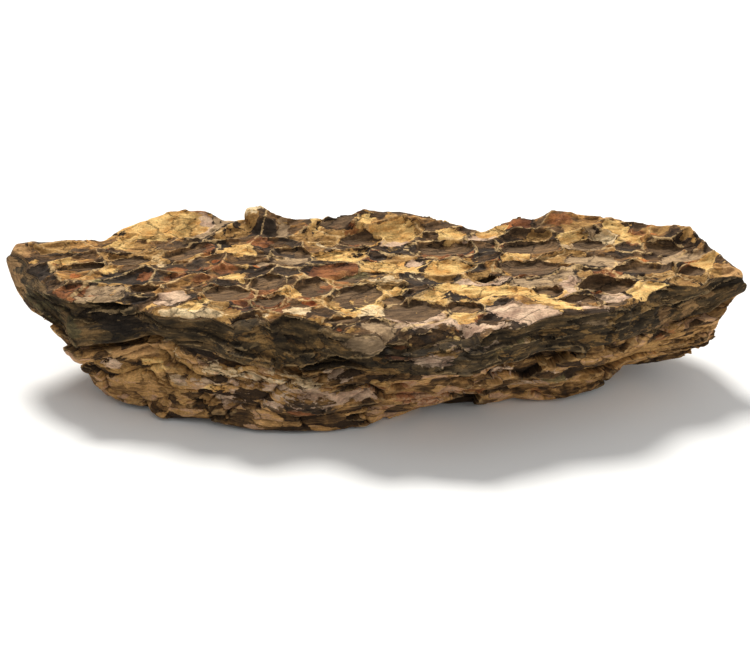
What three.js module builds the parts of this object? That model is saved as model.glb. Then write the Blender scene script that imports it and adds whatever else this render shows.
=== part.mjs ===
// Dragon stone: one flat, layered piece of pitted clay rock, lying as it rests.
// Millimetres, +Z up. +X runs along the stone's length and -Y is its front. The origin is on the
// ground, under the middle of the stone's box.
import * as THREE from "three";

// How finely the stone is faceted: columns along its length, and rows on each stretch of the ring
// that a column makes around the stone.
const COLUMNS = 80;
const ROWS = { top: 26, undercut: 2, slot: 2, base: 3 };

// The layers in each side. A layer has a row at its upper and one at its lower edge.
const LAYERS = { face: 2, lower: 5, backFace: 2, backLower: 3 };

// The two tips, where the columns begin and end.
const LEFT_TIP = -192;
const RIGHT_TIP = 190;

// The stone's edges, from tip to tip. Each station is [x, y, z].
// The lip is the front edge of the pitted top.
const LIP = [
  [-192, 29, 59], [-186, 12, 57], [-171, -10, 58], [-155, -23, 58], [-134, -26, 59],
  [-123, -31, 60], [-112, -25, 60], [-105, -36, 60], [-89, -38, 60], [-76, -42, 60], [-66, -53, 58],
  [-57, -53, 58], [-52, -44, 60], [-35, -45, 61], [-26, -48, 60], [-18, -55, 60], [-6, -60, 60],
  [6, -64, 60], [19, -69, 60], [38, -69, 60], [46, -65, 60], [52, -58, 60], [68, -52, 61],
  [78, -43, 62], [89, -44, 62], [112, -42, 62], [124, -33, 62], [134, -20, 62], [144, -12, 62],
  [159, -11, 61], [170, 1, 61], [179, 4, 60], [186, 4, 58], [190, 5, 55],
];
// The brow is the lower edge of the upper slab, over the undercut.
const BROW = [
  [-192, 29, 57], [-186, 11, 54], [-181, -1, 52], [-170, -16, 49], [-157, -28, 45], [-149, -36, 39],
  [-129, -36, 41], [-119, -36, 42], [-112, -34, 45], [-105, -42, 49], [-97, -45, 46],
  [-77, -50, 42], [-65, -57, 43], [-51, -50, 38], [-35, -50, 32], [-23, -56, 34], [-4, -67, 40],
  [8, -71, 41], [26, -74, 43], [43, -71, 44], [54, -62, 45], [66, -57, 45], [78, -46, 42],
  [89, -46, 45], [108, -46, 45], [125, -36, 43], [142, -20, 41], [153, -16, 43], [170, -6, 43],
  [179, 0, 46], [186, 5, 51], [190, 6, 53],
];
// The neck is the deepest line of the undercut.
const NECK = [
  [-192, 30, 57], [-186, 14, 54], [-181, 3, 52], [-170, -10, 49], [-157, -16, 45], [-149, -20, 39],
  [-129, -19, 41], [-112, -22, 44], [-97, -32, 44], [-77, -37, 41], [-40, -40, 34], [-4, -52, 39],
  [26, -56, 42], [54, -48, 43], [78, -34, 42], [108, -33, 44], [125, -24, 42], [142, -8, 41],
  [170, 4, 43], [179, 5, 46], [186, 7, 51], [190, 7.5, 53],
];
// The shoulder is the upper edge of the lower rock, under the slot.
const SHOULDER = [
  [-192, 29.5, 56.5], [-186, 13, 53], [-181, 2, 50.5], [-170, -12, 46.5], [-157, -22, 40],
  [-149, -31, 35], [-129, -31, 37], [-119, -31, 38], [-110, -32, 39], [-97, -36, 38],
  [-77, -41, 35], [-65, -43, 35], [-40, -46, 29], [-23, -50, 28], [8, -54, 33], [26, -52, 34],
  [43, -48, 34], [54, -45, 35], [78, -38, 35], [108, -35, 36], [125, -26, 34], [142, -12, 33],
  [153, -8, 35], [170, 0, 36], [179, 4, 42], [186, 6, 50], [190, 7, 52],
];
// The belly is where the lower rock stands out furthest.
const BELLY = [
  [-192, 30, 56], [-186, 15, 52], [-181, 5, 49], [-170, -6, 43], [-157, -15, 33], [-149, -20, 22],
  [-140, -22, 17], [-125, -27, 13], [-101, -37, 14], [-75, -45, 15], [-39, -53, 17], [-17, -53, 17],
  [12, -45, 16], [32, -37, 15], [63, -27, 14], [88, -27, 17], [109, -17, 14], [119, -10, 14],
  [128, -6, 18], [148, -2, 18], [166, 0, 22], [176, 3, 28], [182, 6, 44], [186, 7, 49],
  [190, 7, 51],
];
// The foot is the front edge of the underside, flat on the ground between the two raised ends.
const FOOT = [
  [-192, 30, 56], [-186, 17, 51], [-181, 10, 47], [-170, 2, 38], [-157, 2, 21], [-149, -3, 5],
  [-138, -17, 1], [-131, -22, 0], [-123, -27, 0], [-116, -26, 0], [-108, -32, 0], [-100, -37, 0],
  [-86, -41, 0], [-72, -46, 0], [-58, -49, 0], [-44, -52, 0], [-30, -52, 0], [-16, -51, 0],
  [-9, -47, 0], [-2, -43, 0], [6, -36, 0], [19, -29, 0], [33, -21, 0], [47, -18, 0], [61, -17, 0],
  [70, -13, 0], [88, -22, 0], [105, -14, 0], [116, -8, 0], [123, 0, 7], [127, 2, 11], [141, 6, 9],
  [148, 8, 10], [166, 10, 13], [176, 12, 21], [182, 13, 38], [186, 12, 46], [190, 8, 50],
];
const BACK_FOOT = [
  [-192, 31, 56], [-186, 22, 51], [-163, 22, 28], [-149, 24, 12], [-140, 27, 2], [-132, 30, 0],
  [-100, 36, 0], [-40, 42, 0], [20, 44, 0], [80, 42, 0], [110, 36, 0], [118, 32, 0], [128, 29, 9],
  [148, 28, 12], [166, 26, 18], [176, 20, 26], [184, 15, 44], [190, 9, 50],
];
const BACK_BELLY = [
  [-192, 32, 57], [-184, 29, 52], [-163, 36, 36], [-141, 44, 24], [-110, 54, 20], [-75, 50, 22],
  [-40, 58, 18], [0, 62, 24], [40, 55, 20], [76, 58, 17], [109, 57, 22], [147, 48, 24],
  [169, 34, 30], [182, 14, 46], [190, 9.5, 51],
];
const BACK_NECK = [
  [-192, 32, 58], [-184, 31, 55], [-163, 36, 42], [-141, 42, 34], [-110, 52, 34], [-75, 52, 36],
  [-40, 58, 30], [0, 57, 38], [40, 54, 33], [76, 52, 34], [109, 58, 38], [147, 50, 34],
  [169, 35, 38], [182, 14, 49], [190, 10, 52.5],
];
const BACK_BROW = [
  [-192, 32.5, 59], [-184, 36, 58], [-163, 45, 46], [-141, 52, 40], [-110, 66, 42], [-80, 64, 44],
  [-40, 70, 38], [0, 69, 46], [40, 66, 40], [76, 66, 42], [109, 69, 45], [147, 62, 41],
  [169, 45, 44], [182, 15, 52], [190, 10, 53.5],
];
// The crest is the back edge of the pitted top: the broken skyline seen from the front.
const CREST = [
  [-192, 33, 61], [-186, 37, 65], [-180, 39, 64], [-163, 44, 64], [-142, 50, 60], [-137, 55, 63],
  [-126, 60, 67], [-110, 64, 70], [-99, 66, 70], [-94, 66, 71], [-81, 64, 66], [-67, 64, 66],
  [-39, 66, 65.5], [-19, 66, 67], [-6, 67, 71], [12, 67, 68], [24, 65, 67], [40, 63, 64.5],
  [56, 60, 60], [68, 62, 64.5], [77, 64, 70], [86, 65, 66.5], [97, 66, 71], [109, 66, 66.5],
  [130, 64, 65], [147, 60, 64], [162, 52, 69], [169, 43, 70], [172, 32, 67], [182, 14, 63],
  [190, 9, 56],
];

// Pits in the top, where softer clay has washed out: centre, length along the turned axis, width
// across it, depth, and turn in degrees from +X.
const PITS = [
  { x: 116, y: -10, length: 31, width: 21, depth: 9, turn: 6 },
  { x: 85, y: -17, length: 19, width: 14, depth: 6, turn: -6 },
  { x: 55, y: 0, length: 14, width: 10, depth: 8, turn: 0 },
  { x: 78, y: 12, length: 37, width: 23, depth: 7, turn: 3 },
  { x: 80, y: 37, length: 34, width: 24, depth: 6, turn: 8 },
  { x: 35, y: 35, length: 36, width: 25, depth: 6.5, turn: -4 },
  { x: 113, y: 42, length: 23, width: 13, depth: 6, turn: -8 },
  { x: 136, y: 10, length: 33, width: 22, depth: 7, turn: 6 },
  { x: 160, y: 5, length: 17, width: 19, depth: 6, turn: 12 },
  { x: 116, y: -34, length: 15, width: 10, depth: 4.5, turn: 8 },
  { x: 100, y: -29, length: 23, width: 12, depth: 3.5, turn: 5 },
  { x: 109, y: 8, length: 15, width: 9, depth: 3.5, turn: 0 },
  { x: 41, y: -38, length: 22, width: 21, depth: 5, turn: -25 },
  { x: 19, y: -39, length: 38, width: 30, depth: 6, turn: 4 },
  { x: 10, y: -25, length: 15, width: 13, depth: 5, turn: 8 },
  { x: -10, y: -23, length: 33, width: 28, depth: 5, turn: 22 },
  { x: -17, y: -48, length: 17, width: 14, depth: 6, turn: 14 },
  { x: -31, y: -15, length: 20, width: 22, depth: 4.5, turn: 20 },
  { x: -53, y: -27, length: 18, width: 14, depth: 6, turn: 10 },
  { x: -55, y: -9, length: 20, width: 22, depth: 4.5, turn: 24 },
  { x: -74, y: -23, length: 26, width: 24, depth: 5, turn: 12 },
  { x: -60, y: -50, length: 18, width: 15, depth: 6, turn: -4 },
  { x: -115, y: -16, length: 17, width: 15, depth: 4.5, turn: -8 },
  { x: -21, y: 60, length: 22, width: 13, depth: 4.5, turn: 4 },
  { x: -8, y: 48, length: 27, width: 14, depth: 6, turn: 0 },
  { x: -6, y: 1, length: 36, width: 13, depth: 6.5, turn: 24 },
  { x: -150, y: 12, length: 30, width: 15, depth: 4.5, turn: 8 },
  { x: -98, y: 30, length: 34, width: 18, depth: 5, turn: 28 },
  { x: -128, y: 22, length: 24, width: 14, depth: 4, turn: 10 },
  { x: -44, y: 30, length: 24, width: 14, depth: 4.5, turn: -14 },
  { x: 150, y: 36, length: 22, width: 15, depth: 5, turn: -18 },
];

// The height of the top between its edges, and how far from an edge the top takes that height. The
// relief is gentler on the edges: only a share of it is left there, and it is whole further in.
const PLATEAU = { height: 61, front: 26, back: 17, edgeShare: 0.3, gentle: 13 };

// A step down in the top's front edge, between two places along it.
const TERRACE = { left: -10, right: 50, edge: -57, ramp: 12, drop: 8.5 };

// A knob that stands up from the crest: an oval with a blunt rim, leaning to the left.
const KNOB = { x: -58, y: 61, length: 19, width: 14, height: 9, blunt: 0.35, lean: 4 };

// The scallops between the pits: mean length and width, depth, turn in degrees, how quickly each
// one rises to its ridge, how much some lie above others, and the height that they lie around.
const SCALLOP = { length: 27, width: 14, depth: 5, turn: 12, rise: 1.5, uneven: 0.35, middle: 0.55 };

// How a pit's floor slopes: this share of its depth at the middle, and more towards the back.
const PIT_FLOOR = 0.75;

// The slow swells of the top, and the smaller ones on them.
const SWELL = { height: 1.6, length: 41, width: 29 };
const RIPPLE = { height: 0.8, length: 13, width: 9 };

// The broken layers in the sides: how far they stand out, in blocks with straight faces, in slow
// swells and in ripples along them. Their edges wander up and down by a share of their thickness,
// each has its two rows this far inside its edges, and all fade out this near to the tips.
const LAYER = {
  block: { reach: 5.5, length: 34, drift: 0.4 },
  swell: { reach: 2.6, length: 37 },
  ripple: { reach: 1.4, length: 15 },
  wander: { share: 0.3, length: 27 },
  inside: 0.12,
  nearest: 0.03,
  fade: 16,
};

// The spot that the stone rests on, the most that the underside rises round it, how much of that
// changes from place to place, and how long and wide the changes are.
const REST = { x: -6, y: 6, length: 150, width: 62, rise: 3.5, change: 0.4, along: 21, across: 17 };

// The direction of an edge is taken over this length.
const EDGE_SPAN = 8;

// What the scattered values are counted from, so that no two features share them.
const SEEDS = {
  scallopX: 1, scallopY: 2, scallopHeight: 3, swell: 4, ripple: 5, ground: 10,
  backFace: 20, backLower: 30, lower: 40, face: 50,
};

const CLAY = new THREE.MeshStandardMaterial({ color: 0x6b543a, roughness: 0.92, metalness: 0 });

const { clamp, degToRad, lerp, smoothstep } = THREE.MathUtils;

/** A fixed value from 0 to 1 for a whole-numbered place, by the usual sine hash. */
function scatter(i, j, seed) {
  const value = Math.sin(i * 127.1 + j * 311.7 + seed * 74.7) * 43758.5453;
  return value - Math.floor(value);
}

/** Smooth noise from -1 to 1. */
function noise(x, y, seed) {
  const [i, j] = [Math.floor(x), Math.floor(y)];
  const [u, v] = [smoothstep(x - i, 0, 1), smoothstep(y - j, 0, 1)];
  const near = lerp(scatter(i, j, seed), scatter(i + 1, j, seed), u);
  const far = lerp(scatter(i, j + 1, seed), scatter(i + 1, j + 1, seed), u);
  return 2 * lerp(near, far, v) - 1;
}

/** The height of a swell of the top at a place. */
function swellHeight(swell, x, y, seed) {
  return swell.height * noise(x / swell.length, y / swell.width, seed);
}

/** The point of an edge at x, on straight lines between its stations. */
function pointOn(edge, x) {
  let k = 1;
  while (k < edge.length - 1 && edge[k][0] < x) k += 1;
  const [a, b] = [edge[k - 1], edge[k]];
  const share = clamp((x - a[0]) / (b[0] - a[0]), 0, 1);
  return new THREE.Vector3(x, lerp(a[1], b[1], share), lerp(a[2], b[2], share));
}

/** Where a place lies in a turned oval: across it from -1 to 1, and how far inside, up to 1. */
function placeInOval(oval, x, y) {
  const turn = degToRad(oval.turn ?? 0);
  const [dx, dy] = [x - oval.x, y - oval.y];
  const along = (dx * Math.cos(turn) + dy * Math.sin(turn)) / (oval.length / 2);
  const across = (dy * Math.cos(turn) - dx * Math.sin(turn)) / (oval.width / 2);
  return { across, inside: 1 - along * along - across * across };
}

/** How deep a pit is at a place. Pits are steepest and deepest towards the back. */
function pitDepth(pit, x, y) {
  const { across, inside } = placeInOval(pit, x, y);
  return inside <= 0 ? 0 : pit.depth * Math.sqrt(inside) * lerp(across, 1, PIT_FLOOR);
}

/** Shallow scallops that meet in ridges: 0 in a scallop's middle and about 1 on a ridge. */
function scallopHeight(x, y) {
  const turn = degToRad(SCALLOP.turn);
  const u = (x * Math.cos(turn) + y * Math.sin(turn)) / SCALLOP.length;
  const v = (y * Math.cos(turn) - x * Math.sin(turn)) / SCALLOP.width;
  const [column, row] = [Math.floor(u), Math.floor(v)];
  let lowest = Infinity;
  for (let i = column - 1; i <= column + 1; i += 1) {
    for (let j = row - 1; j <= row + 1; j += 1) {
      const du = u - (i + scatter(i, j, SEEDS.scallopX));
      const dv = v - (j + scatter(i, j, SEEDS.scallopY));
      const floor = SCALLOP.uneven * scatter(i, j, SEEDS.scallopHeight);
      lowest = Math.min(lowest, SCALLOP.rise * (du * du + dv * dv) + floor);
    }
  }
  return lowest;
}

/** How far the terrace takes the top down at a place. */
function terraceDrop(x, y) {
  const { left, right, edge, ramp, drop } = TERRACE;
  const along = smoothstep(x, left, left + ramp) * (1 - smoothstep(x, right - ramp / 2, right));
  return y < edge ? drop * along : 0;
}

/** How far the knob lifts a place on the top. */
function knobLift(x, y) {
  const { inside } = placeInOval(KNOB, x, y);
  return inside > 0 ? KNOB.height * inside ** KNOB.blunt : 0;
}

/** The pits, or the scallops between them, with the swells of the top, at a place. */
function topRelief(x, y) {
  const deepest = Math.max(...PITS.map((pit) => pitDepth(pit, x, y)));
  const between = SCALLOP.depth * (scallopHeight(x, y) - SCALLOP.middle);
  const swell = swellHeight(SWELL, x, y, SEEDS.swell) + swellHeight(RIPPLE, x, y, SEEDS.ripple);
  return (deepest > 0 ? -deepest : between) + swell;
}

/** The rows of the top at one place along the stone, from the lip to the crest. */
function topRows(x) {
  const lip = pointOn(LIP, x);
  const crest = pointOn(CREST, x);
  return Array.from({ length: ROWS.top + 1 }, (_, k) => {
    const y = lerp(lip.y, crest.y, k / ROWS.top);
    const fromLip = 1 - smoothstep(y - lip.y, 0, PLATEAU.front);
    const fromCrest = 1 - smoothstep(crest.y - y, 0, PLATEAU.back);
    const level = lerp(lerp(PLATEAU.height, lip.z, fromLip), crest.z, fromCrest);
    const inwards = smoothstep(Math.min(y - lip.y, crest.y - y), 0, PLATEAU.gentle);
    const relief = topRelief(x, y) * lerp(PLATEAU.edgeShare, 1, inwards) - terraceDrop(x, y);
    const lift = knobLift(x, y);
    const lean = KNOB.lean * (lift / KNOB.height) ** 2;
    return new THREE.Vector3(x - lean, y, level + relief + lift);
  });
}

/** Lifts a point of the underside off the ground where it lies outside the resting spot. */
function liftOffGround(point) {
  const { inside } = placeInOval(REST, point.x, point.y);
  const change = noise(point.x / REST.along, point.y / REST.across, SEEDS.ground);
  const rise = REST.rise * (1 - REST.change + REST.change * change);
  point.z = Math.max(point.z, rise * smoothstep(-inside, 0, 2));
}

/** A point moved outwards, square to an edge as seen from above. Front is -1 and back is 1. */
function movedOut(point, edge, side, reach) {
  const [before, after] = [-1, 1].map((way) => pointOn(edge, point.x + (way * EDGE_SPAN) / 2));
  const out = new THREE.Vector2(before.y - after.y, after.x - before.x).normalize();
  const fromTip = Math.min(point.x - LEFT_TIP, RIGHT_TIP - point.x);
  const step = side * reach * clamp(fromTip / LAYER.fade, 0, 1);
  return new THREE.Vector3(point.x + out.x * step, point.y + out.y * step, point.z);
}

/** How far a layer stands out at a place along the stone. */
function layerReach(layer, x, seed) {
  const { block, swell, ripple } = LAYER;
  const drift = block.drift * noise(x / ripple.length, layer, seed);
  const place = Math.floor(x / block.length + 2 * scatter(layer, 0, seed) + drift);
  const straight = block.reach * (scatter(place, layer, seed + 1) - 0.5);
  const slow = swell.reach * noise(x / swell.length, layer / 3, seed + 2);
  return straight + slow + ripple.reach * noise(x / ripple.length, 2 * layer, seed + 3);
}

/**
 * The rows of a layered side from one edge to another, through any bend between them. Each layer
 * has a row near its start and one near its end, moved out or in together, so that it makes a
 * ledge over or under the next.
 */
function layeredRows(x, corners, layers, edge, side, seed) {
  const { inside, nearest, wander } = LAYER;
  const at = (share) => {
    const place = share * (corners.length - 1);
    const k = Math.min(Math.floor(place), corners.length - 2);
    return corners[k].clone().lerp(corners[k + 1], place - k);
  };
  const rows = [];
  for (let layer = 0; layer < layers; layer += 1) {
    const reach = layerReach(layer, x, seed);
    for (const within of [inside, 1 - inside]) {
      const shift = wander.share * noise(x / wander.length, layer + within, seed + 4);
      const share = clamp((layer + within + shift) / layers, nearest, 1 - nearest);
      rows.push(movedOut(at(share), edge, side, reach));
    }
  }
  return rows;
}

/** Evenly spaced points from one point up to, but not at, another. */
function stretch(from, to, count) {
  return Array.from({ length: count }, (_, k) => from.clone().lerp(to, k / count));
}

/** The ring of points around the stone at one place along it. */
function ringAt(x) {
  const top = topRows(x);
  const [lip, crest] = [top[0], top[ROWS.top]];
  const [brow, neck, shoulder, belly, foot] = [BROW, NECK, SHOULDER, BELLY, FOOT].map((edge) =>
    pointOn(edge, x),
  );
  const [backFoot, backBelly, backNeck, backBrow] = [
    BACK_FOOT, BACK_BELLY, BACK_NECK, BACK_BROW,
  ].map((edge) => pointOn(edge, x));
  const base = [...stretch(backFoot, foot, ROWS.base), foot];
  base.forEach(liftOffGround);
  return [
    ...top,
    ...layeredRows(x, [crest, backBrow], LAYERS.backFace, BACK_BROW, 1, SEEDS.backFace),
    backBrow,
    ...layeredRows(x, [backNeck, backBelly, base[0]], LAYERS.backLower, BACK_BELLY, 1, SEEDS.backLower),
    ...base,
    ...layeredRows(x, [foot, belly, shoulder], LAYERS.lower, BELLY, -1, SEEDS.lower),
    ...stretch(shoulder, neck, ROWS.slot),
    ...stretch(neck, brow, ROWS.undercut),
    brow,
    ...layeredRows(x, [brow, lip], LAYERS.face, BROW, -1, SEEDS.face),
  ];
}

/** The two triangles of a four-sided facet, split along its shorter diagonal. */
function facet(points, a, b, c, d) {
  const split = points[a].distanceToSquared(points[c]) < points[b].distanceToSquared(points[d]);
  return split ? [a, b, c, a, c, d] : [a, b, d, b, c, d];
}

/** The triangles that close one tip, from its ring to a new point in the ring's middle. */
function tipFaces(points, ring, first, flip) {
  const middle = points.length;
  points.push(ring.reduce((sum, point) => sum.add(point), new THREE.Vector3()).divideScalar(ring.length));
  return ring.flatMap((_, j) => {
    const [here, next] = [first + j, first + ((j + 1) % ring.length)];
    return flip ? [next, here, middle] : [here, next, middle];
  });
}

/** The closed skin of the stone, as rings joined side by side and closed at both tips. */
function stoneGeometry() {
  const rings = Array.from({ length: COLUMNS + 1 }, (_, k) =>
    ringAt(lerp(LEFT_TIP, RIGHT_TIP, k / COLUMNS)),
  );
  const around = rings[0].length;
  const points = rings.flat();
  const faces = [];
  for (let k = 0; k < COLUMNS; k += 1) {
    const [here, there] = [k * around, (k + 1) * around];
    for (let j = 0; j < around; j += 1) {
      const next = (j + 1) % around;
      faces.push(...facet(points, here + j, there + j, there + next, here + next));
    }
  }
  faces.push(...tipFaces(points, rings[0], 0, false));
  faces.push(...tipFaces(points, rings[COLUMNS], COLUMNS * around, true));
  return new THREE.BufferGeometry().setFromPoints(points).setIndex(faces);
}

/** Moves a geometry so that its box stands on z 0, with x and y 0 in its middle. */
function standOnOrigin(geometry) {
  geometry.computeBoundingBox();
  const middle = geometry.boundingBox.getCenter(new THREE.Vector3());
  geometry.translate(-middle.x, -middle.y, -geometry.boundingBox.min.z);
  geometry.computeVertexNormals();
  return geometry;
}

const stone = new THREE.Mesh(standOnOrigin(stoneGeometry()), CLAY);
stone.name = "stone";

const part = new THREE.Group();
part.add(stone);

export default part;
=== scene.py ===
"""Dragon stone: the looks of one flat, layered piece of pitted clay rock.

Shapes are worked out in millimetres and written to meshes in metres. The frame is the solid's: +X
runs along the stone, -Y is its undercut front, +Z is up, and the ground is at 0.
"""

import logging
import math
from collections.abc import Sequence
from dataclasses import dataclass, replace
from enum import Enum

import bmesh
import bpy
import numpy as np
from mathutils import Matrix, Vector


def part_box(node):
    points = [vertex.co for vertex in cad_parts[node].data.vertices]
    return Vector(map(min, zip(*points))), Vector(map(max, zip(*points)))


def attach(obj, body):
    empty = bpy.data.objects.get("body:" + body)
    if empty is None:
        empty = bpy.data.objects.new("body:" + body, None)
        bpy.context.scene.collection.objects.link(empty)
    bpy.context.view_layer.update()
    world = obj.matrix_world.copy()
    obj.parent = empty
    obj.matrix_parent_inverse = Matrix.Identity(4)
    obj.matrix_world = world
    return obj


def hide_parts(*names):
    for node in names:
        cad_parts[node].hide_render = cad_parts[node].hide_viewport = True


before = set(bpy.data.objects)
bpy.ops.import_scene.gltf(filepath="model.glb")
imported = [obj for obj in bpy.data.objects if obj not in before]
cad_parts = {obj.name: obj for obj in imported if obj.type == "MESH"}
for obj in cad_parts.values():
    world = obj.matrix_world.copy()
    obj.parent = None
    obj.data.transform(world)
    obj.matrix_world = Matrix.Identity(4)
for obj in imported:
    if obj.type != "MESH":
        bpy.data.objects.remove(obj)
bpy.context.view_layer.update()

MM = 0.001

Array = np.ndarray
Node = bpy.types.Node
Socket = bpy.types.NodeSocket
Rgb = tuple[int, int, int]

log = logging.getLogger("dragon_stone")

# Large primes that spread whole-numbered cells over a hash.
CELL_PRIMES = (73856093, 19349663, 83492791)
SEED_PRIME = 2654435761
MIX_STEPS = ((16, 0x45D9F3B), (15, 0x119DE1F3))
WORD = 0xFFFFFFFF
FRACTION = 0xFFFFFF

# What brings swells to about -1 to 1, and how far apart the seeds of their finer layers lie.
SWELL_HEIGHT = 1.8
LAYER_SEEDS = 31


def scatter(cells: Array, seed: int) -> Array:
    """Gives every whole-numbered cell a fixed value from 0 to 1.

    Args:
        cells: whole numbers, three to a cell.
        seed: another seed gives other values.

    Returns:
        One value for each cell.
    """
    mixed = np.full(cells.shape[:-1], seed * SEED_PRIME, np.int64)
    for axis, prime in enumerate(CELL_PRIMES):
        mixed ^= cells[..., axis].astype(np.int64) * prime
    mixed &= WORD
    for shift, factor in MIX_STEPS:
        mixed = ((mixed ^ (mixed >> shift)) * factor) & WORD
    return ((mixed ^ (mixed >> 16)) & FRACTION) / FRACTION


def scatter_three(cells: Array, seed: int) -> Array:
    """Gives every whole-numbered cell three fixed values from 0 to 1."""
    return np.stack([scatter(cells, seed + axis) for axis in range(3)], -1)


def smooth(values: Array, low: float | Array, high: float | Array) -> Array:
    """Rises smoothly from 0 at low to 1 at high.

    Args:
        values: what is looked up.
        low: where the rise starts.
        high: where it ends.

    Returns:
        One value from 0 to 1 for each of the values.
    """
    share = np.clip((values - low) / (high - low), 0.0, 1.0)
    return share * share * (3.0 - 2.0 * share)


def hump(values: Array, width: float) -> Array:
    """Gives 1 where the values are 0, falling smoothly to 0 on both sides."""
    return np.exp(-((values / width) ** 2))


def turned(points: Array, degrees: float) -> Array:
    """Gives points as seen from axes that are turned about +Z.

    Args:
        points: three numbers to a point.
        degrees: how far the axes turn, from +X towards +Y.

    Returns:
        The same points along the turned axes.
    """
    angle = math.radians(degrees)
    out = points.copy()
    out[:, 0] = points[:, 0] * math.cos(angle) + points[:, 1] * math.sin(angle)
    out[:, 1] = points[:, 1] * math.cos(angle) - points[:, 0] * math.sin(angle)
    return out


@dataclass(frozen=True)
class Swells:
    """Smooth random swells of one size, the same on every run.

    Attributes:
        size: the length of a swell along X, Y and Z.
        seed: another seed gives other swells.
        octaves: how many finer layers of swells there are, each half as long and half as high.
    """

    size: tuple[float, float, float]
    seed: int
    octaves: int = 1

    def at(self, points: Array) -> Array:
        """Gives the height of the swells, from about -1 to 1, at each point."""
        total = np.zeros(len(points))
        for octave in range(self.octaves):
            places = points / np.array(self.size) * 2.0**octave
            total += self._one(places, self.seed + LAYER_SEEDS * octave) * 0.5**octave
        return total

    @staticmethod
    def _one(places: Array, seed: int) -> Array:
        """Gives one layer of swells, from slopes fixed at whole-numbered places."""
        cell = np.floor(places).astype(np.int64)
        within = places - cell
        fade = within**3 * (within * (within * 6.0 - 15.0) + 10.0)
        total = np.zeros(len(places))
        for corner in np.ndindex(2, 2, 2):
            step = np.array(corner)
            slope = scatter_three(cell + step, seed)
            share = np.prod(np.where(step, fade, 1.0 - fade), axis=-1)
            total += share * np.sum((2.0 * slope - 1.0) * (within - step), axis=-1)
        return total * SWELL_HEIGHT


@dataclass(frozen=True)
class Cups:
    """Shallow cups side by side, which meet in sharp ridges, as washed-out clay leaves them.

    Attributes:
        size: the mean length of a cup along X, Y and Z. A length of 0 makes the cups run through.
        depth: from a deep cup's floor to a high ridge.
        turn: how far the cups' axes turn about +Z, in degrees.
        seed: another seed gives other cups.
        uneven: how much some cups lie above others.
        rise: how quickly a cup rises to its ridge.
        steep: how much shorter a cup is behind its lowest point than in front of it.
    """

    size: tuple[float, float, float]
    depth: float
    turn: float
    seed: int
    uneven: float = 0.35
    rise: float = 1.5
    steep: float = 1.6

    def value(self, cells: Array, place: int) -> Array:
        """Gives a random value of a cell: its middle along X, Y or Z, or its own number."""
        return scatter(cells, self.seed + place)

    def lowest(self, points: Array) -> tuple[Array, Array, Array]:
        """Looks up the cup that each point is in.

        Args:
            points: three numbers to a point.

        Returns:
            The cup's height at each point, from 0 up to about 1, how much higher the next cup
            would be there, and the cup's own random number.
        """
        lengths = np.array([length or math.inf for length in self.size])
        places = turned(points, self.turn) / lengths
        cell = np.floor(places).astype(np.int64)
        reach = np.array([1 if length else 0 for length in self.size])
        first = np.full(len(points), np.inf)
        second = np.full(len(points), np.inf)
        number = np.zeros(len(points))
        for offset in np.ndindex(*(2 * reach + 1)):
            near = cell + np.array(offset) - reach
            middle = np.stack([self.value(near, axis) for axis in range(3)], -1)
            apart = (places - near - middle) * reach
            apart[:, 1] *= np.where(apart[:, 1] > 0.0, self.steep, 1.0 / self.steep)
            own = self.value(near, 3)
            here = self.rise * np.sum(apart * apart, axis=-1) + self.uneven * own
            lower = here < first
            second = np.where(lower, first, np.minimum(second, here))
            first = np.where(lower, here, first)
            number = np.where(lower, own, number)
        return first, second - first, number


@dataclass(frozen=True)
class Chips:
    """Flat-faced pieces side by side, each tilted its own way, with cracks between them.

    Attributes:
        size: the mean length of a piece along X, Y and Z.
        step: how far some pieces stand out past others.
        tilt: how steeply a piece's face may slope.
        crack: how deep the cracks are.
        width: the width of a crack.
        seed: another seed gives other pieces.
    """

    size: tuple[float, float, float]
    step: float
    tilt: float
    crack: float
    width: float
    seed: int

    def at(self, points: Array) -> tuple[Array, Array, Array]:
        """Looks up the piece that each point is on.

        Args:
            points: three numbers to a point.

        Returns:
            How far the surface stands out, how deep in a crack it is, from 0 to 1, and the
            piece's own random number.
        """
        size = np.array(self.size)
        places = points / size
        cell = np.floor(places).astype(np.int64)
        first = np.full(len(points), np.inf)
        second = np.full(len(points), np.inf)
        nearest = np.zeros((len(points), 3))
        owner = np.zeros_like(cell)
        for offset in np.ndindex(3, 3, 3):
            near = cell + np.array(offset) - 1
            middle = scatter_three(near, self.seed)
            apart = places - near - middle
            far = np.sum(apart * apart, axis=-1)
            closer = far < first
            second = np.where(closer, first, np.minimum(second, far))
            first = np.where(closer, far, first)
            nearest = np.where(closer[:, None], apart, nearest)
            owner = np.where(closer[:, None], near, owner)
        number = scatter(owner, self.seed + 3)
        slope = scatter_three(owner, self.seed + 4)
        face = self.tilt * np.sum((2.0 * slope - 1.0) * nearest * size, axis=-1)
        border = (np.sqrt(second) - np.sqrt(first)) * min(self.size)
        crack = hump(border, self.width)
        return self.step * (number - 0.5) + face - self.crack * crack, crack, number


class Clay(Enum):
    """The clays and crusts that colour the stone in patches."""

    OCHRE = "ochre"
    YELLOW = "yellow"
    RUST = "rust"
    PINK = "pink"
    GREY = "grey"
    CREAM = "cream"
    SLATE = "slate"
    OLIVE = "olive"
    TAN = "tan"


# The colour attributes that carry the patches, with the clay in each one's three channels.
CLAY_CHANNELS: tuple[tuple[str, tuple[Clay, Clay, Clay]], ...] = (
    ("clays", (Clay.OCHRE, Clay.YELLOW, Clay.RUST)),
    ("crusts", (Clay.PINK, Clay.GREY, Clay.CREAM)),
    ("darks", (Clay.SLATE, Clay.OLIVE, Clay.TAN)),
)

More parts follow.
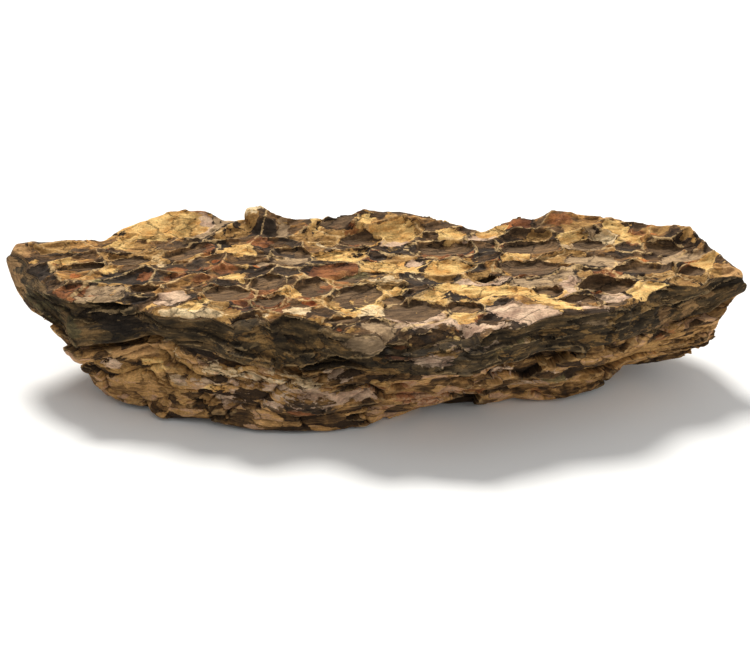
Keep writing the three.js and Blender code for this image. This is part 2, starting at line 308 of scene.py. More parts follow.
# The clays from the lowest layer to the highest.
CLAY_LAYERS = (
    Clay.OLIVE, Clay.SLATE, Clay.OCHRE, Clay.RUST, Clay.TAN, Clay.GREY, Clay.PINK, Clay.YELLOW,
    Clay.CREAM,
)

# The share of the top's scoops that are floored with each clay, for its two larger sizes.
SCOOP_CLAYS: tuple[dict[Clay, float], ...] = (
    {
        Clay.YELLOW: 0.04, Clay.RUST: 0.05, Clay.OCHRE: 0.08, Clay.GREY: 0.04, Clay.SLATE: 0.16,
        Clay.PINK: 0.03,
    },
    {Clay.YELLOW: 0.05, Clay.RUST: 0.06, Clay.CREAM: 0.02, Clay.OCHRE: 0.08, Clay.SLATE: 0.1},
)

# Clays that set as a smooth crust, and how much of the fine relief each one hides.
SMOOTH_CLAYS: dict[Clay, float] = {Clay.PINK: 0.9, Clay.GREY: 0.9, Clay.YELLOW: 0.35, Clay.TAN: 0.6}


class Side(Enum):
    """The sides of the stone that a patch can lie on."""

    TOP = "top"
    FRONT = "front"


@dataclass(frozen=True)
class Oval:
    """A turned oval on the top, seen from above, or on the front, seen from the front.

    Attributes:
        x: its centre along the stone.
        v: its centre's Y on the top, or its Z on the front.
        length: its size along its turned axis.
        width: its size across it.
        turn: how far its axis turns from +X, in degrees.
    """

    x: float
    v: float
    length: float
    width: float
    turn: float = 0.0

    def place(self, points: Array, side: Side) -> tuple[Array, Array]:
        """Gives where points lie in the oval.

        Args:
            points: three numbers to a point.
            side: the side that the oval lies on.

        Returns:
            How far out each point lies, 1 on the outline, and how far across, from -1 to 1.
        """
        angle = math.radians(self.turn)
        dx = points[:, 0] - self.x
        dv = points[:, 1 if side is Side.TOP else 2] - self.v
        along = (dx * math.cos(angle) + dv * math.sin(angle)) / (self.length / 2.0)
        across = (dv * math.cos(angle) - dx * math.sin(angle)) / (self.width / 2.0)
        return np.hypot(along, across), across


@dataclass(frozen=True)
class Pit:
    """A pit where softer clay has washed out.

    Attributes:
        outline: of its rim.
        depth: below the rim, in the solid.
        deep: how deep the finished pit is, as a share of that.
    """

    outline: Oval
    depth: float
    deep: float


@dataclass(frozen=True)
class Patch:
    """A patch of one clay, with a ragged edge."""

    clay: Clay
    outline: Oval
    side: Side = Side.TOP


def pit(
    x: float, v: float, length: float, width: float, depth: float, turn: float, deep: float = 0.4
) -> Pit:
    """Makes a pit from its centre, length, width, depth, turn and finished depth."""
    return Pit(Oval(x, v, length, width, turn), depth, deep)


def patches(side: Side, spots: dict[Clay, Sequence[tuple[float, ...]]]) -> tuple[Patch, ...]:
    """Makes the patches of one side.

    Args:
        side: the side that they lie on.
        spots: for each clay, its ovals as x, v, length, width and perhaps a turn.

    Returns:
        The patches.
    """
    return tuple(Patch(clay, Oval(*spot), side) for clay, ovals in spots.items() for spot in ovals)


# The point of the solid's frame that the pits are placed from.
PITS_FROM = np.array([1.0, 0.7, 0.0])

# The solid has these pits too. Here they get their rims, walls and smooth floors.
TOP_PITS = (
    pit(117, -9, 32, 21, 9.0, 6, 0.6), pit(86, -16, 19, 14, 6.0, -6, 0.6),
    pit(56, 1, 13, 8, 8.0, 0, 0.7),
    pit(79, 13, 38, 22, 6.5, 3), pit(81, 38, 35, 23, 6.0, 8), pit(36, 36, 36, 24, 6.0, -4),
    pit(114, 43, 23, 13, 6.0, -8), pit(137, 11, 34, 22, 7.0, 6), pit(161, 6, 17, 19, 6.0, 12),
    pit(117, -33, 16, 10, 4.0, 8), pit(101, -28, 23, 11, 3.0, 5), pit(110, 9, 15, 8, 2.5, 0),
    pit(42, -37, 20, 18, 4.0, -25), pit(18, -38, 36, 30, 5.5, 4), pit(9, -24, 15, 13, 4.5, 8),
    pit(-9, -22, 34, 27, 4.0, 22), pit(-16, -47, 17, 13, 5.0, 14), pit(-30, -14, 22, 22, 4.0, 20),
    pit(-52, -26, 19, 14, 5.0, 10), pit(-54, -8, 20, 20, 3.5, 24), pit(-73, -22, 28, 24, 4.5, 12),
    pit(-59, -49, 18, 14, 5.0, -4), pit(-114, -15, 18, 14, 3.5, -8), pit(-20, 61, 22, 13, 4.0, 4),
    pit(-7, 49, 27, 14, 5.0, 0), pit(-5, 2, 36, 12, 6.0, 24), pit(-149, 13, 30, 14, 3.5, 8),
    pit(-97, 31, 34, 17, 4.5, 28), pit(-127, 23, 24, 13, 3.0, 10), pit(-43, 31, 24, 13, 4.0, -14),
    pit(151, 37, 22, 14, 4.5, -18),
)

# Pits in the front, which only show here: v is the height of the middle.
FRONT_PITS = (
    pit(-7, 23, 26, 13, 3.0, 0), pit(13, 26, 11, 7, 5.0, 0), pit(-7, 8, 15, 5, 4.0, 0),
    pit(133, 55, 18, 13, 1.6, 8), pit(54, 57, 10, 5, 2.5, 0), pit(164, 37, 12, 4, 4.0, 8),
    pit(104, 17, 20, 7, 3.0, 22), pit(-62, 27, 22, 8, 2.5, -8), pit(60, 24, 18, 7, 2.5, 10),
)

TOP_PATCHES = patches(
    Side.TOP,
    {
        Clay.OCHRE: (
            (13, 64, 12, 9), (34, 4, 18, 14), (-22, -25, 12, 10), (108, 56, 18, 14),
            (-122, -30, 18, 6, -10), (-130, 40, 26, 10, 20), (-70, -37, 12, 8), (87, -34, 14, 8),
            (-20, 30, 18, 8, 12), (150, 54, 18, 9), (60, 50, 16, 8),
        ),
        Clay.YELLOW: (
            (-114, 57, 46, 17, 6), (-134, 10, 11, 7), (-71, 31, 20, 16, -10), (-5, 62, 12, 8),
            (40, 52, 17, 10), (19, 8, 15, 7), (-41, -16, 11, 11), (58, -16, 64, 15, -8),
            (43, -44, 14, 14), (95, -38, 13, 7), (137, -10, 10, 5), (-160, 20, 12, 4, 10),
            (84, -28, 26, 8, -14),
        ),
        Clay.RUST: (
            (-114, 4, 10, 9), (-86, 36, 9, 16), (-78, 11, 15, 12), (-81, -3, 20, 6, 12),
            (-6, 45, 16, 8), (-6, 23, 12, 7), (-17, -7, 14, 5, 24), (-52, -16, 12, 10),
            (100, 62, 15, 7, 12), (137, 50, 12, 14), (75, 4, 24, 7), (-100, 12, 20, 5, 10),
            (-60, 42, 12, 8),
        ),
        Clay.PINK: (
            (-98, -24, 17, 12, 10), (10, 46, 17, 12, 16), (21, 20, 12, 8), (51, -54, 24, 8),
            (74, -42, 36, 17, -4), (106, 72, 14, 8), (120, -22, 18, 11), (103, -35, 18, 6),
            (99, -8, 9, 28), (-90, 60, 10, 10), (30, -51, 34, 6),
        ),
        Clay.GREY: (
            (112, 23, 28, 17, -4), (98, 4, 11, 24), (159, 27, 22, 16, 10), (-52, 17, 18, 7),
            (-1, -62, 18, 9, 10), (-48, 56, 7, 12), (6, -52, 24, 10),
        ),
        Clay.CREAM: (
            (-86, -39, 32, 4, -6), (-109, 17, 7, 8), (6, -4, 18, 7, -14), (-64, 64, 12, 8),
            (-36, -37, 14, 10), (-1, -36, 12, 17), (26, 0, 12, 3, -20), (-24, 40, 14, 4, -30),
        ),
        Clay.SLATE: (
            (-90, 13, 13, 18), (-52, 34, 22, 8, -20), (20, -2, 16, 5, -10), (-160, 30, 24, 6),
            (-46, 48, 9, 22, 35), (-60, 53, 16, 7), (35, -56, 36, 5), (52, 30, 30, 14, 6),
            (-8, 14, 30, 12, 10), (-146, 12, 30, 10, 8), (-98, 43, 28, 5, 8),
        ),
        Clay.OLIVE: ((-11, 6, 15, 9), (-136, -4, 20, 7, 8)),
        Clay.TAN: ((-185, 29, 15, 18), (183, 4, 10, 24), (-178, -8, 12, 8)),
    },
)

FRONT_PATCHES = patches(
    Side.FRONT,
    {
        Clay.OCHRE: (
            (-113, 33, 32, 10, -4), (-100, 18, 22, 7), (-122, 22, 34, 9, -8), (-92, 29, 26, 7, -12),
            (132, 24, 44, 9, 10), (148, 31, 30, 6, 6), (-48, 24, 22, 8), (4, 28, 13, 6),
            (29, 51, 36, 4), (82, 10, 12, 4), (109, 16, 14, 7, 20), (-66, 33, 18, 5),
        ),
        Clay.YELLOW: ((-109, 27, 14, 6), (-78, 22, 9, 4)),
        Clay.RUST: (
            (13, 51, 15, 6), (-36, 12, 11, 4), (146, 33, 9, 5), (82, 9, 15, 4), (49, 17, 13, 5),
        ),
        Clay.PINK: (
            (-130, 25, 10, 8), (-71, 16, 16, 3), (-17, 21, 38, 5, -4), (-17, 31, 9, 3),
            (-44, 34, 15, 3), (36, 54, 27, 2), (31, 49, 24, 4), (66, 28, 22, 5),
        ),
        Clay.GREY: ((0, 55, 26, 8, -10), (106, 56, 9, 3), (-96, 24, 12, 5)),
        Clay.SLATE: (
            # The first slate patch is painted shadow under the slab's overhang.
            (-86, 39, 36, 8, -18), (-35, 25, 12, 6), (-32, 15, 26, 7), (34, 56, 40, 5),
            (-128, 52, 40, 8), (110, 24, 12, 9),
        ),
        Clay.OLIVE: ((-149, 47, 15, 8, -20), (90, 20, 18, 6)),
        Clay.TAN: (
            (-120, 33, 32, 9, 10), (-186, 54, 18, 14, -20), (-172, 43, 30, 7, -33),
            (161, 50, 46, 3, 6), (150, 45, 30, 3, 8),
        ),
    },
)

# Stretches of the front where a clay only shows in mottles, and how strongly.
FRONT_MOTTLES = patches(
    Side.FRONT,
    {
        Clay.OCHRE: (
            (-30, 46, 96, 20, -8), (60, 26, 60, 24, 8), (115, 48, 120, 20, 4),
            (110, 24, 120, 34, 6), (-110, 24, 70, 40),
        ),
        Clay.SLATE: (
            (-20, 50, 70, 14, -10), (-35, 18, 60, 12), (100, 24, 26, 8, 12), (-130, 50, 50, 12),
        ),
        Clay.OLIVE: ((110, 52, 120, 8, 2), (-160, 48, 50, 18)),
        Clay.PINK: ((-55, 22, 70, 12, -4), (70, 18, 60, 14, 8)),
        Clay.RUST: ((30, 20, 90, 20),),
        Clay.CREAM: ((-60, 30, 60, 6, -8),),
    },
)
MOTTLED = 0.42

# The clays that show in random stretches of the back, and how long and high a stretch is.
BACK_CLAYS = (Clay.OCHRE, Clay.PINK, Clay.SLATE, Clay.YELLOW, Clay.TAN)
BACK_STRETCH = (38.0, 26.0, 13.0)

# The knob on the back of the top. Its steep flanks belong to the top too.
KNOB = Oval(-56, 58, 44, 30)

# The front edge of the top, as x and y.
LIP = (
    (-191, 28), (-171, 9), (-165, -1), (-159, -13), (-147, -22), (-129, -26), (-117, -28),
    (-105, -38), (-80, -41), (-40, -43), (-20, -51), (0, -56), (20, -58), (40, -57), (60, -55),
    (80, -47), (100, -42), (120, -35), (140, -15), (160, -8), (180, 5), (191, 12),
)

# The lower edge of the upper slab, as x and z, along the front and along the back.
SLAB_EDGE = (
    (-191, 57), (-169, 49), (-148, 39), (-128, 41), (-111, 45), (-96, 46), (-64, 43), (-34, 32),
    (-22, 34), (-3, 40), (27, 43), (55, 45), (90, 45), (143, 41), (171, 43), (191, 53),
)
BACK_EDGE = (
    (-191, 58), (-183, 56), (-162, 44), (-140, 37), (-109, 38), (-79, 40), (-39, 34), (1, 42),
    (41, 36), (77, 38), (110, 41), (148, 37), (170, 41), (183, 50), (191, 53),
)

# The lowest bed, as x and z. It runs on nearly level below the two tips.
FOOT = ((-191, 8), (-150, 4), (-130, 0), (95, 0), (140, 9), (191, 15))

# Along the beds, the height of the slab's lower edge and of its top above that, and the real
# height of that top. Thinner beds than BED_LEAST are not stretched any further.
EDGE_BED = 40.0
SLAB_BEDS = 22.0
TOP_HEIGHT = 62.0
BED_LEAST = 5.0

# How deep the gap under the slab's front edge goes, as x and depth.
GAP = (
    (-156, 0), (-146, 6), (-118, 6), (-108, 2), (-99, 7), (-90, 5), (-80, 2), (-40, 3),
    (-10, 4), (30, 2), (70, 2), (90, 5), (120, 4), (150, 4), (172, 4), (185, 0),
)


class Web:
    """A mesh's points and the edges between them, for smoothing over the surface."""

    def __init__(self, mesh: bpy.types.Mesh) -> None:
        """Reads the edges of a mesh."""
        self.count = len(mesh.vertices)
        ends = np.empty(len(mesh.edges) * 2, np.int32)
        mesh.edges.foreach_get("vertices", ends)
        self.ends = ends.reshape(-1, 2)
        self.degree = np.bincount(ends, minlength=self.count).astype(float)

    def mean(self, values: Array) -> Array:
        """Gives each point the mean of its neighbours' values."""
        columns = values.reshape(self.count, -1)
        out = np.empty_like(columns)
        first, second = self.ends.T
        for k in range(columns.shape[1]):
            total = np.bincount(first, columns[second, k], self.count)
            total += np.bincount(second, columns[first, k], self.count)
            out[:, k] = total / self.degree
        return out.reshape(values.shape)

    def eased(self, values: Array, rounds: int, share: float = 0.5) -> Array:
        """Moves values towards their neighbours' mean.

        Args:
            values: one or more numbers to a point.
            rounds: how many times.
            share: how far, each time.

        Returns:
            The smoother values.
        """
        for _ in range(rounds):
            values = values + share * (self.mean(values) - values)
        return values


@dataclass
class Surface:
    """The stone's skin while it is being shaped.

    Attributes:
        mesh: the mesh that the shape ends up in.
        points: where its points are.
        web: the edges between them.
    """

    mesh: bpy.types.Mesh
    points: Array
    web: Web

    @classmethod
    def of(cls, mesh: bpy.types.Mesh) -> "Surface":
        """Reads a mesh."""
        flat = np.empty(len(mesh.vertices) * 3)
        mesh.vertices.foreach_get("co", flat)
        return cls(mesh, flat.reshape(-1, 3) / MM, Web(mesh))

    def normals(self) -> Array:
        """Writes the points to the mesh and gives the outward direction at each."""
        self.mesh.vertices.foreach_set("co", (self.points * MM).ravel())
        self.mesh.update()
        flat = np.empty(len(self.points) * 3)
        self.mesh.vertices.foreach_get("normal", flat)
        return flat.reshape(-1, 3)

    def bend(self, normals: Array, rounds: int) -> Array:
        """Gives how far each point stands out of its surroundings.

        Args:
            normals: the outward directions.
            rounds: more rounds compare it with wider surroundings.

        Returns:
            The height of each point above them: above 0 on a ridge, below 0 in a hollow.
        """
        around = self.web.eased(self.points, rounds, 1.0)
        return np.sum((self.points - around) * normals, axis=-1)

    def flatten(self, normals: Array, share: Array, rounds: int) -> None:
        """Evens out a part of the skin without rounding its outer edge.

        Args:
            normals: the outward directions.
            share: 1 in the part and 0 elsewhere.
            rounds: more rounds even out wider swells.
        """
        weight = share[:, None]
        total = np.maximum(self.web.eased(weight, rounds, 1.0), 1e-6)
        middle = self.web.eased(self.points * weight, rounds, 1.0) / total
        outward = self.web.eased(normals * weight, rounds, 1.0)
        outward /= np.maximum(np.linalg.norm(outward, axis=-1, keepdims=True), 1e-6)
        off = np.sum((middle - self.points) * outward, axis=-1, keepdims=True)
        self.points += weight * off * outward

    def write(self, name: str, values: Array) -> None:
        """Stores three numbers to a point as a colour attribute of the mesh."""
        attribute = self.mesh.attributes.new(name, "FLOAT_COLOR", "POINT")
        colours = np.ones((len(values), 4), np.float32)
        colours[:, :3] = values
        attribute.data.foreach_set("color", colours.ravel())


def along(points: Array, line: tuple[tuple[float, float], ...]) -> Array:
    """Gives a line's value at each point's X, straight between the line's own points."""
    x, value = np.array(line, float).T
    return np.interp(points[:, 0], x, value)


@dataclass(frozen=True)
class Zones:
    """How the surface lies in the stone's beds.

    Attributes:
        top: 1 on the pitted top and 0 elsewhere.
        slab: 1 on the upper slab's steep edge.
        lower: 1 on the sides of the lower rock.
        under: 1 on the underside.
        above: the height above the slab's lower edge.
        beds: each point with its height along the beds in place of its Z. The beds follow the
            foot, the slab's lower edge and the top.
    """

    top: Array
    slab: Array
    lower: Array
    under: Array
    above: Array
    beds: Array

    @classmethod
    def of(cls, points: Array, normals: Array) -> "Zones":
        """Sorts points by their height and the way that the surface faces."""
        up = normals[:, 2]
        behind = smooth(points[:, 1], 0.0, 30.0)
        edge = along(points, SLAB_EDGE) * (1.0 - behind) + along(points, BACK_EDGE) * behind
        above = points[:, 2] - edge
        knob, _ = KNOB.place(points, Side.TOP)
        knob = (1.0 - smooth(knob, 0.8, 1.1)) * smooth(points[:, 2], 60.0, 65.0)
        upright = np.maximum(smooth(up, 0.25, 0.6), knob)
        inner = smooth(points[:, 1] - along(points, LIP), -2.0, 1.5)
        inner = np.maximum(inner, smooth(points[:, 2], 56.5, 59.0))
        top = upright * smooth(above, 3.0, 8.0) * inner
        under = smooth(-up, 0.55, 0.9) * (1.0 - smooth(points[:, 2], 8.0, 20.0))
        rest = (1.0 - top) * (1.0 - under)
        slab = smooth(above, -2.0, 0.0)
        foot = along(points, FOOT)
        below = (points[:, 2] - foot) / np.maximum(edge - foot, BED_LEAST)
        over = above / np.maximum(TOP_HEIGHT - edge, BED_LEAST)
        beds = points.copy()
        beds[:, 2] = np.where(above < 0.0, EDGE_BED * below, EDGE_BED + SLAB_BEDS * over)
        return cls(top, rest * slab, rest * (1.0 - slab), under, above, beds)


@dataclass(frozen=True)
class SolidScoops(Cups):
    """The scoops that the solid has, at the same places, by the same sine hash."""

    def value(self, cells: Array, place: int) -> Array:
        """Gives the random value that the solid uses for a cell."""
        seed = (1, 2, 2, 3)[place]
        wave = np.sin(cells[:, 0] * 127.1 + cells[:, 1] * 311.7 + seed * 74.7) * 43758.5453
        return wave - np.floor(wave)


@dataclass(frozen=True)
class Scooped:
    """What is known of the top's scoops and pits at each point.

    Attributes:
        height: how high each size of scoop is there, from 0 up.
        gap: how far each point is from the ridge around its scoop: 0 is on the ridge.
        number: the scoops' own random numbers.
        solid: how deep the solid's pits are.
        depth: how deep the finished pits are.
        rim: 1 on a pit's rim.
    """

    height: tuple[Array, ...]
    gap: tuple[Array, ...]
    number: tuple[Array, ...]
    solid: Array
    depth: Array
    rim: Array

    @property
    def inside(self) -> Array:
        """Gives 1 in a pit and 0 outside."""
        return smooth(self.depth, 0.15, 0.9)


@dataclass(frozen=True)
class PittedTop:
    """The pitted top: pits, flat-floored scoops between narrow ridges, blades and low steps.

    Attributes:
        scoops: the solid's own scoops, which get their sharp ridges here, and finer ones.
        ridges: how far the ridges around each size of scoop stand up.
        pale: how pale those ridges are.
        widths: how wide a ridge and its pale line are, as shares of a scoop.
        levels: how far some scoops' floors lie above others.
        bowl: how much of a scoop's hollow floor stays.
        blades: long, low blades, strongest on the left and along the back.
        ragged: what makes the outlines uneven.
        wander: how far the scoops' outlines wander, in millimetres.
        pit_wander: how far the pits' outlines wander, as a share of a pit.
        calm: how much of the solid's own scoops is taken away.
        filled: how much of the solid's pits is filled up.
        lean: how far high places lean forwards over low ones, as a share of their height.
        step: the height of the low steps.
        share: how much of the relief between steps they take away.
        ease: rounds of smoothing that tell the solid's own scoops from their ridges.
    """

    scoops: tuple[Cups, ...] = (
        SolidScoops((27.0, 14.0, 0.0), 5.0, 12.0, 0, steep=1.0),
        Cups((15.0, 10.0, 0.0), 1.2, 18.0, 21, steep=1.5),
        Cups((7.0, 5.0, 0.0), 0.4, 8.0, 31),
    )
    ridges: tuple[float, ...] = (1.3, 0.8, 0.35)
    pale: tuple[float, ...] = (0.85, 0.6, 0.35)
    widths: tuple[float, float] = (0.22, 0.14)
    levels: tuple[float, ...] = (1.8, 1.0, 0.3)
    bowl: float = 0.15
    blades: Cups = Cups((56.0, 10.0, 0.0), 2.2, 20.0, 41, steep=2.0)
    ragged: Swells = Swells((10.0, 10.0, 10.0), 51, 3)
    wander: float = 1.6
    pit_wander: float = 0.16
    calm: float = 0.85
    filled: float = 0.9
    lean: float = 0.7
    step: float = 1.8
    share: float = 0.3
    ease: int = 60

    def look(self, points: Array) -> Scooped:
        """Looks up the scoops and pits at each point."""
        ragged = self.ragged.at(points)
        level = np.array([1.0, 1.0, 0.0])
        bent = points + ragged[:, None] * level * self.wander
        places = [points - PITS_FROM + 0.5 * (bent - points), bent, bent]
        found = [scoops.lowest(place) for scoops, place in zip(self.scoops, places)]
        heights, gaps, numbers = zip(*found)
        uneven = 1.0 + self.pit_wander * ragged
        return Scooped(heights, gaps, numbers, *self._pits(points, uneven))

    def _pits(self, points: Array, ragged: Array) -> tuple[Array, Array, Array]:
        """Gives the solid's pits, the pits that they become, and their rims."""
        solid = np.zeros(len(points))
        depth = np.zeros(len(points))
        rim = np.zeros(len(points))
        for hole in TOP_PITS:
            round_out, across = hole.outline.place(points - PITS_FROM, Side.TOP)
            bowl = np.sqrt(np.clip(1.0 - round_out * round_out, 0.0, 1.0))
            solid = np.maximum(solid, hole.depth * bowl * (0.75 + 0.25 * across))
            out = round_out * ragged
            # The wall is steep at the back, where the floor is deepest, and slopes at the front.
            behind = smooth(across, -0.4, 0.4)
            wall = 1.0 - smooth(out, 0.35 + 0.45 * behind, 1.0)
            floor = 0.35 + 0.65 * smooth(across, -0.9, 0.7)
            depth = np.maximum(depth, hole.deep * hole.depth * wall * floor)
            rim = np.maximum(rim, hump(out - 1.03, 0.08))
        return solid, depth, rim

    def carve(
        self, surface: Surface, zones: Zones, margin: Array, crust: Array, top: Scooped
    ) -> Array:
        """Carves the top.

        Args:
            surface: the skin, whose points are moved.
            zones: where the top is.
            margin: 0 along the top's outer edge, and 1 further in.
            crust: how much smooth crust covers each point.
            top: the scoops and pits.

        Returns:
            For each point how deep in a pit it is, how much it is on a thin rim, and the number
            of its scoop.
        """
        points = surface.points
        upper = np.maximum(zones.top, smooth(zones.above, 6.0, 12.0))
        points[:, 2] += self.filled * top.solid * upper
        inside = top.inside
        flat = (1.0 - inside) * (1.0 - 0.75 * crust)
        broad = surface.web.eased(np.minimum(top.height[0], 1.3), self.ease, 1.0)
        relief = -self.calm * self.scoops[0].depth * (broad - 0.5) * (1.0 - inside) * margin
        fine = -top.depth
        edge = top.rim.copy()
        # The finer the scoops, the more they fade towards the top's outer edge.
        near = 0.3 + 0.7 * margin
        cover = (1.0 - inside) * (1.0 - 0.5 * crust) * near
        for k, gap in enumerate(top.gap):
            if k:
                flat = flat * near
                cover = flat
            line = hump(gap, self.widths[0])
            fine += (self.ridges[k] * line + self.levels[k] * (top.number[k] - 0.5)) * cover
            fine += self.scoops[k].depth * self.bowl * np.minimum(top.height[k], 1.2) * cover
            edge = np.maximum(edge, hump(gap, self.widths[1]) * self.pale[k] * cover)
        # The blades are strong on the left third, and less so along the back.
        bladed = np.clip(1.0 - smooth(points[:, 0], -90.0, -30.0), 0.1, 1.0)
        bladed = np.maximum(bladed, 0.6 * smooth(points[:, 1], 30.0, 55.0)) * margin
        blades, _, _ = self.blades.lowest(points)
        fine += self.blades.depth * (np.minimum(blades, 1.2) - 0.4) * flat * bladed
        fine = surface.web.eased(fine, 2)
        height = points[:, 2] + relief + fine
        # Low steps with uneven outlines, as in split layers.
        layer = (height + 0.8 * self.ragged.at(points * 0.7)) / self.step
        stepped = np.floor(layer) + smooth(layer - np.floor(layer), 0.35, 0.65)
        height += self.share * flat * self.step * (stepped - layer)
        high = fine - surface.web.eased(fine, self.ease, 1.0)
        points[:, 2] += zones.top * (height - points[:, 2])
        points[:, 1] -= zones.top * self.lean * high
        return np.stack([inside, edge, 0.6 * top.number[0] + 0.4 * top.number[1]], -1)

    def clays(self, top: Scooped) -> dict[Clay, Array]:
        """Gives some scoops a clay of their own: 0.5 is a patch's edge."""
        out = {}
        for k, shares in enumerate(SCOOP_CLAYS):
            within = np.clip(0.35 + 1.5 * top.gap[k], 0.0, 0.8) * (1.0 - 0.7 * top.inside)
            start = 0.0
            for clay, share in shares.items():
                mine = (top.number[k] >= start) & (top.number[k] < start + share)
                out[clay] = np.maximum(out.get(clay, 0.0), within * mine)
                start += share
        return out


# How much each size of chip counts in the number that gives a chip its brown.
CHIP_SHARES = (0.6, 0.4, 0.0)


@dataclass(frozen=True)
class BrokenSides:
    """The slab's steep edge, in long flat breaks with fine lines, and the chipped lower rock.

    Attributes:
        lower: the chips of the lower rock, from the largest to the smallest.
        slab: the chips of the slab's steep edge.
        grain: the fine layers.
        bend: what bends the layers.
        broken: where the lower rock is rough, and where it is smooth.
    """

    lower: tuple[Chips, ...] = (
        Chips((40.0, 40.0, 14.0), 3.4, 0.16, 1.2, 1.0, 61),
        Chips((19.0, 19.0, 6.0), 1.6, 0.22, 0.5, 0.6, 71),
        Chips((8.0, 8.0, 2.6), 0.6, 0.15, 0.2, 0.4, 81),
    )
    slab: tuple[Chips, ...] = (
        Chips((90.0, 90.0, 13.0), 1.8, 0.1, 0.2, 0.8, 91),
        Chips((22.0, 22.0, 3.0), 0.9, 0.09, 0.2, 0.5, 101),
    )
    grain: Swells = Swells((9.0, 9.0, 2.2), 111, 3)
    bend: Swells = Swells((16.0, 16.0, 11.0), 121, 3)
    broken: Swells = Swells((34.0, 34.0, 14.0), 125, 2)

    def carve(self, surface: Surface, zones: Zones, normals: Array, crust: Array) -> Array:
        """Carves the sides.

        Args:
            surface: the skin, whose points are moved.
            zones: where the slab's edge and the lower rock are.
            normals: the outward directions.
            crust: how much smooth crust covers each point.

        Returns:
            For each point the depth of its crack, 0, and the number of its chip.
        """
        points = surface.points
        level = normals * np.array([1.0, 1.0, 0.2])
        level /= np.maximum(np.linalg.norm(level, axis=-1, keepdims=True), 0.35)
        bend = self.bend.at(points)[:, None]
        bent = zones.beds + bend * np.array([3.0, 3.0, 1.4])
        grain = self.grain.at(bent)
        broken = smooth(self.broken.at(points), -0.5, 0.15) * (1.0 - 0.7 * crust)
        lower, low_crack, low_number = self._stack(self.lower, bent, broken)
        slab, slab_crack, slab_number = self._stack(self.slab, bent, 1.0 - 0.5 * crust)
        lower += 0.4 * grain * broken
        slab += 0.2 * grain
        gap = along(points, GAP) * hump(zones.above + 2.2, 2.0)
        front = smooth(-normals[:, 1], 0.1, 0.5) * (zones.slab + zones.lower)
        out = zones.lower * lower + zones.slab * slab
        for hole in FRONT_PITS:
            far, _ = hole.outline.place(points, Side.FRONT)
            out -= front * hole.depth * (1.0 - smooth(far, 0.6, 1.0))
            out += front * 0.4 * hump(far - 1.06, 0.1)
        tip = smooth(points[:, 0], -191.0, -140.0) * smooth(-points[:, 0], -191.0, -170.0)
        out = out * tip - gap * (points[:, 1] < 10.0) * (zones.slab + zones.lower)
        surface.points += out[:, None] * level
        crack = zones.lower * low_crack + zones.slab * slab_crack
        number = zones.lower * low_number + zones.slab * slab_number
        return np.stack([crack, np.zeros(len(points)), number], -1)

    @staticmethod
    def _stack(layers: tuple[Chips, ...], bent: Array, rough: Array) -> tuple[Array, ...]:
        """Adds up chips of several sizes, with the deepest crack and a mean number."""
        out = np.zeros(len(bent))
        crack = np.zeros(len(bent))
        number = np.zeros(len(bent))
        for k, chips in enumerate(layers):
            here, own_crack, own = chips.at(bent)
            out += here * (rough if k else 1.0)
            crack = np.maximum(crack, own_crack * rough * (0.9 - 0.2 * k))
            number += own * CHIP_SHARES[k]
        return out, crack, number


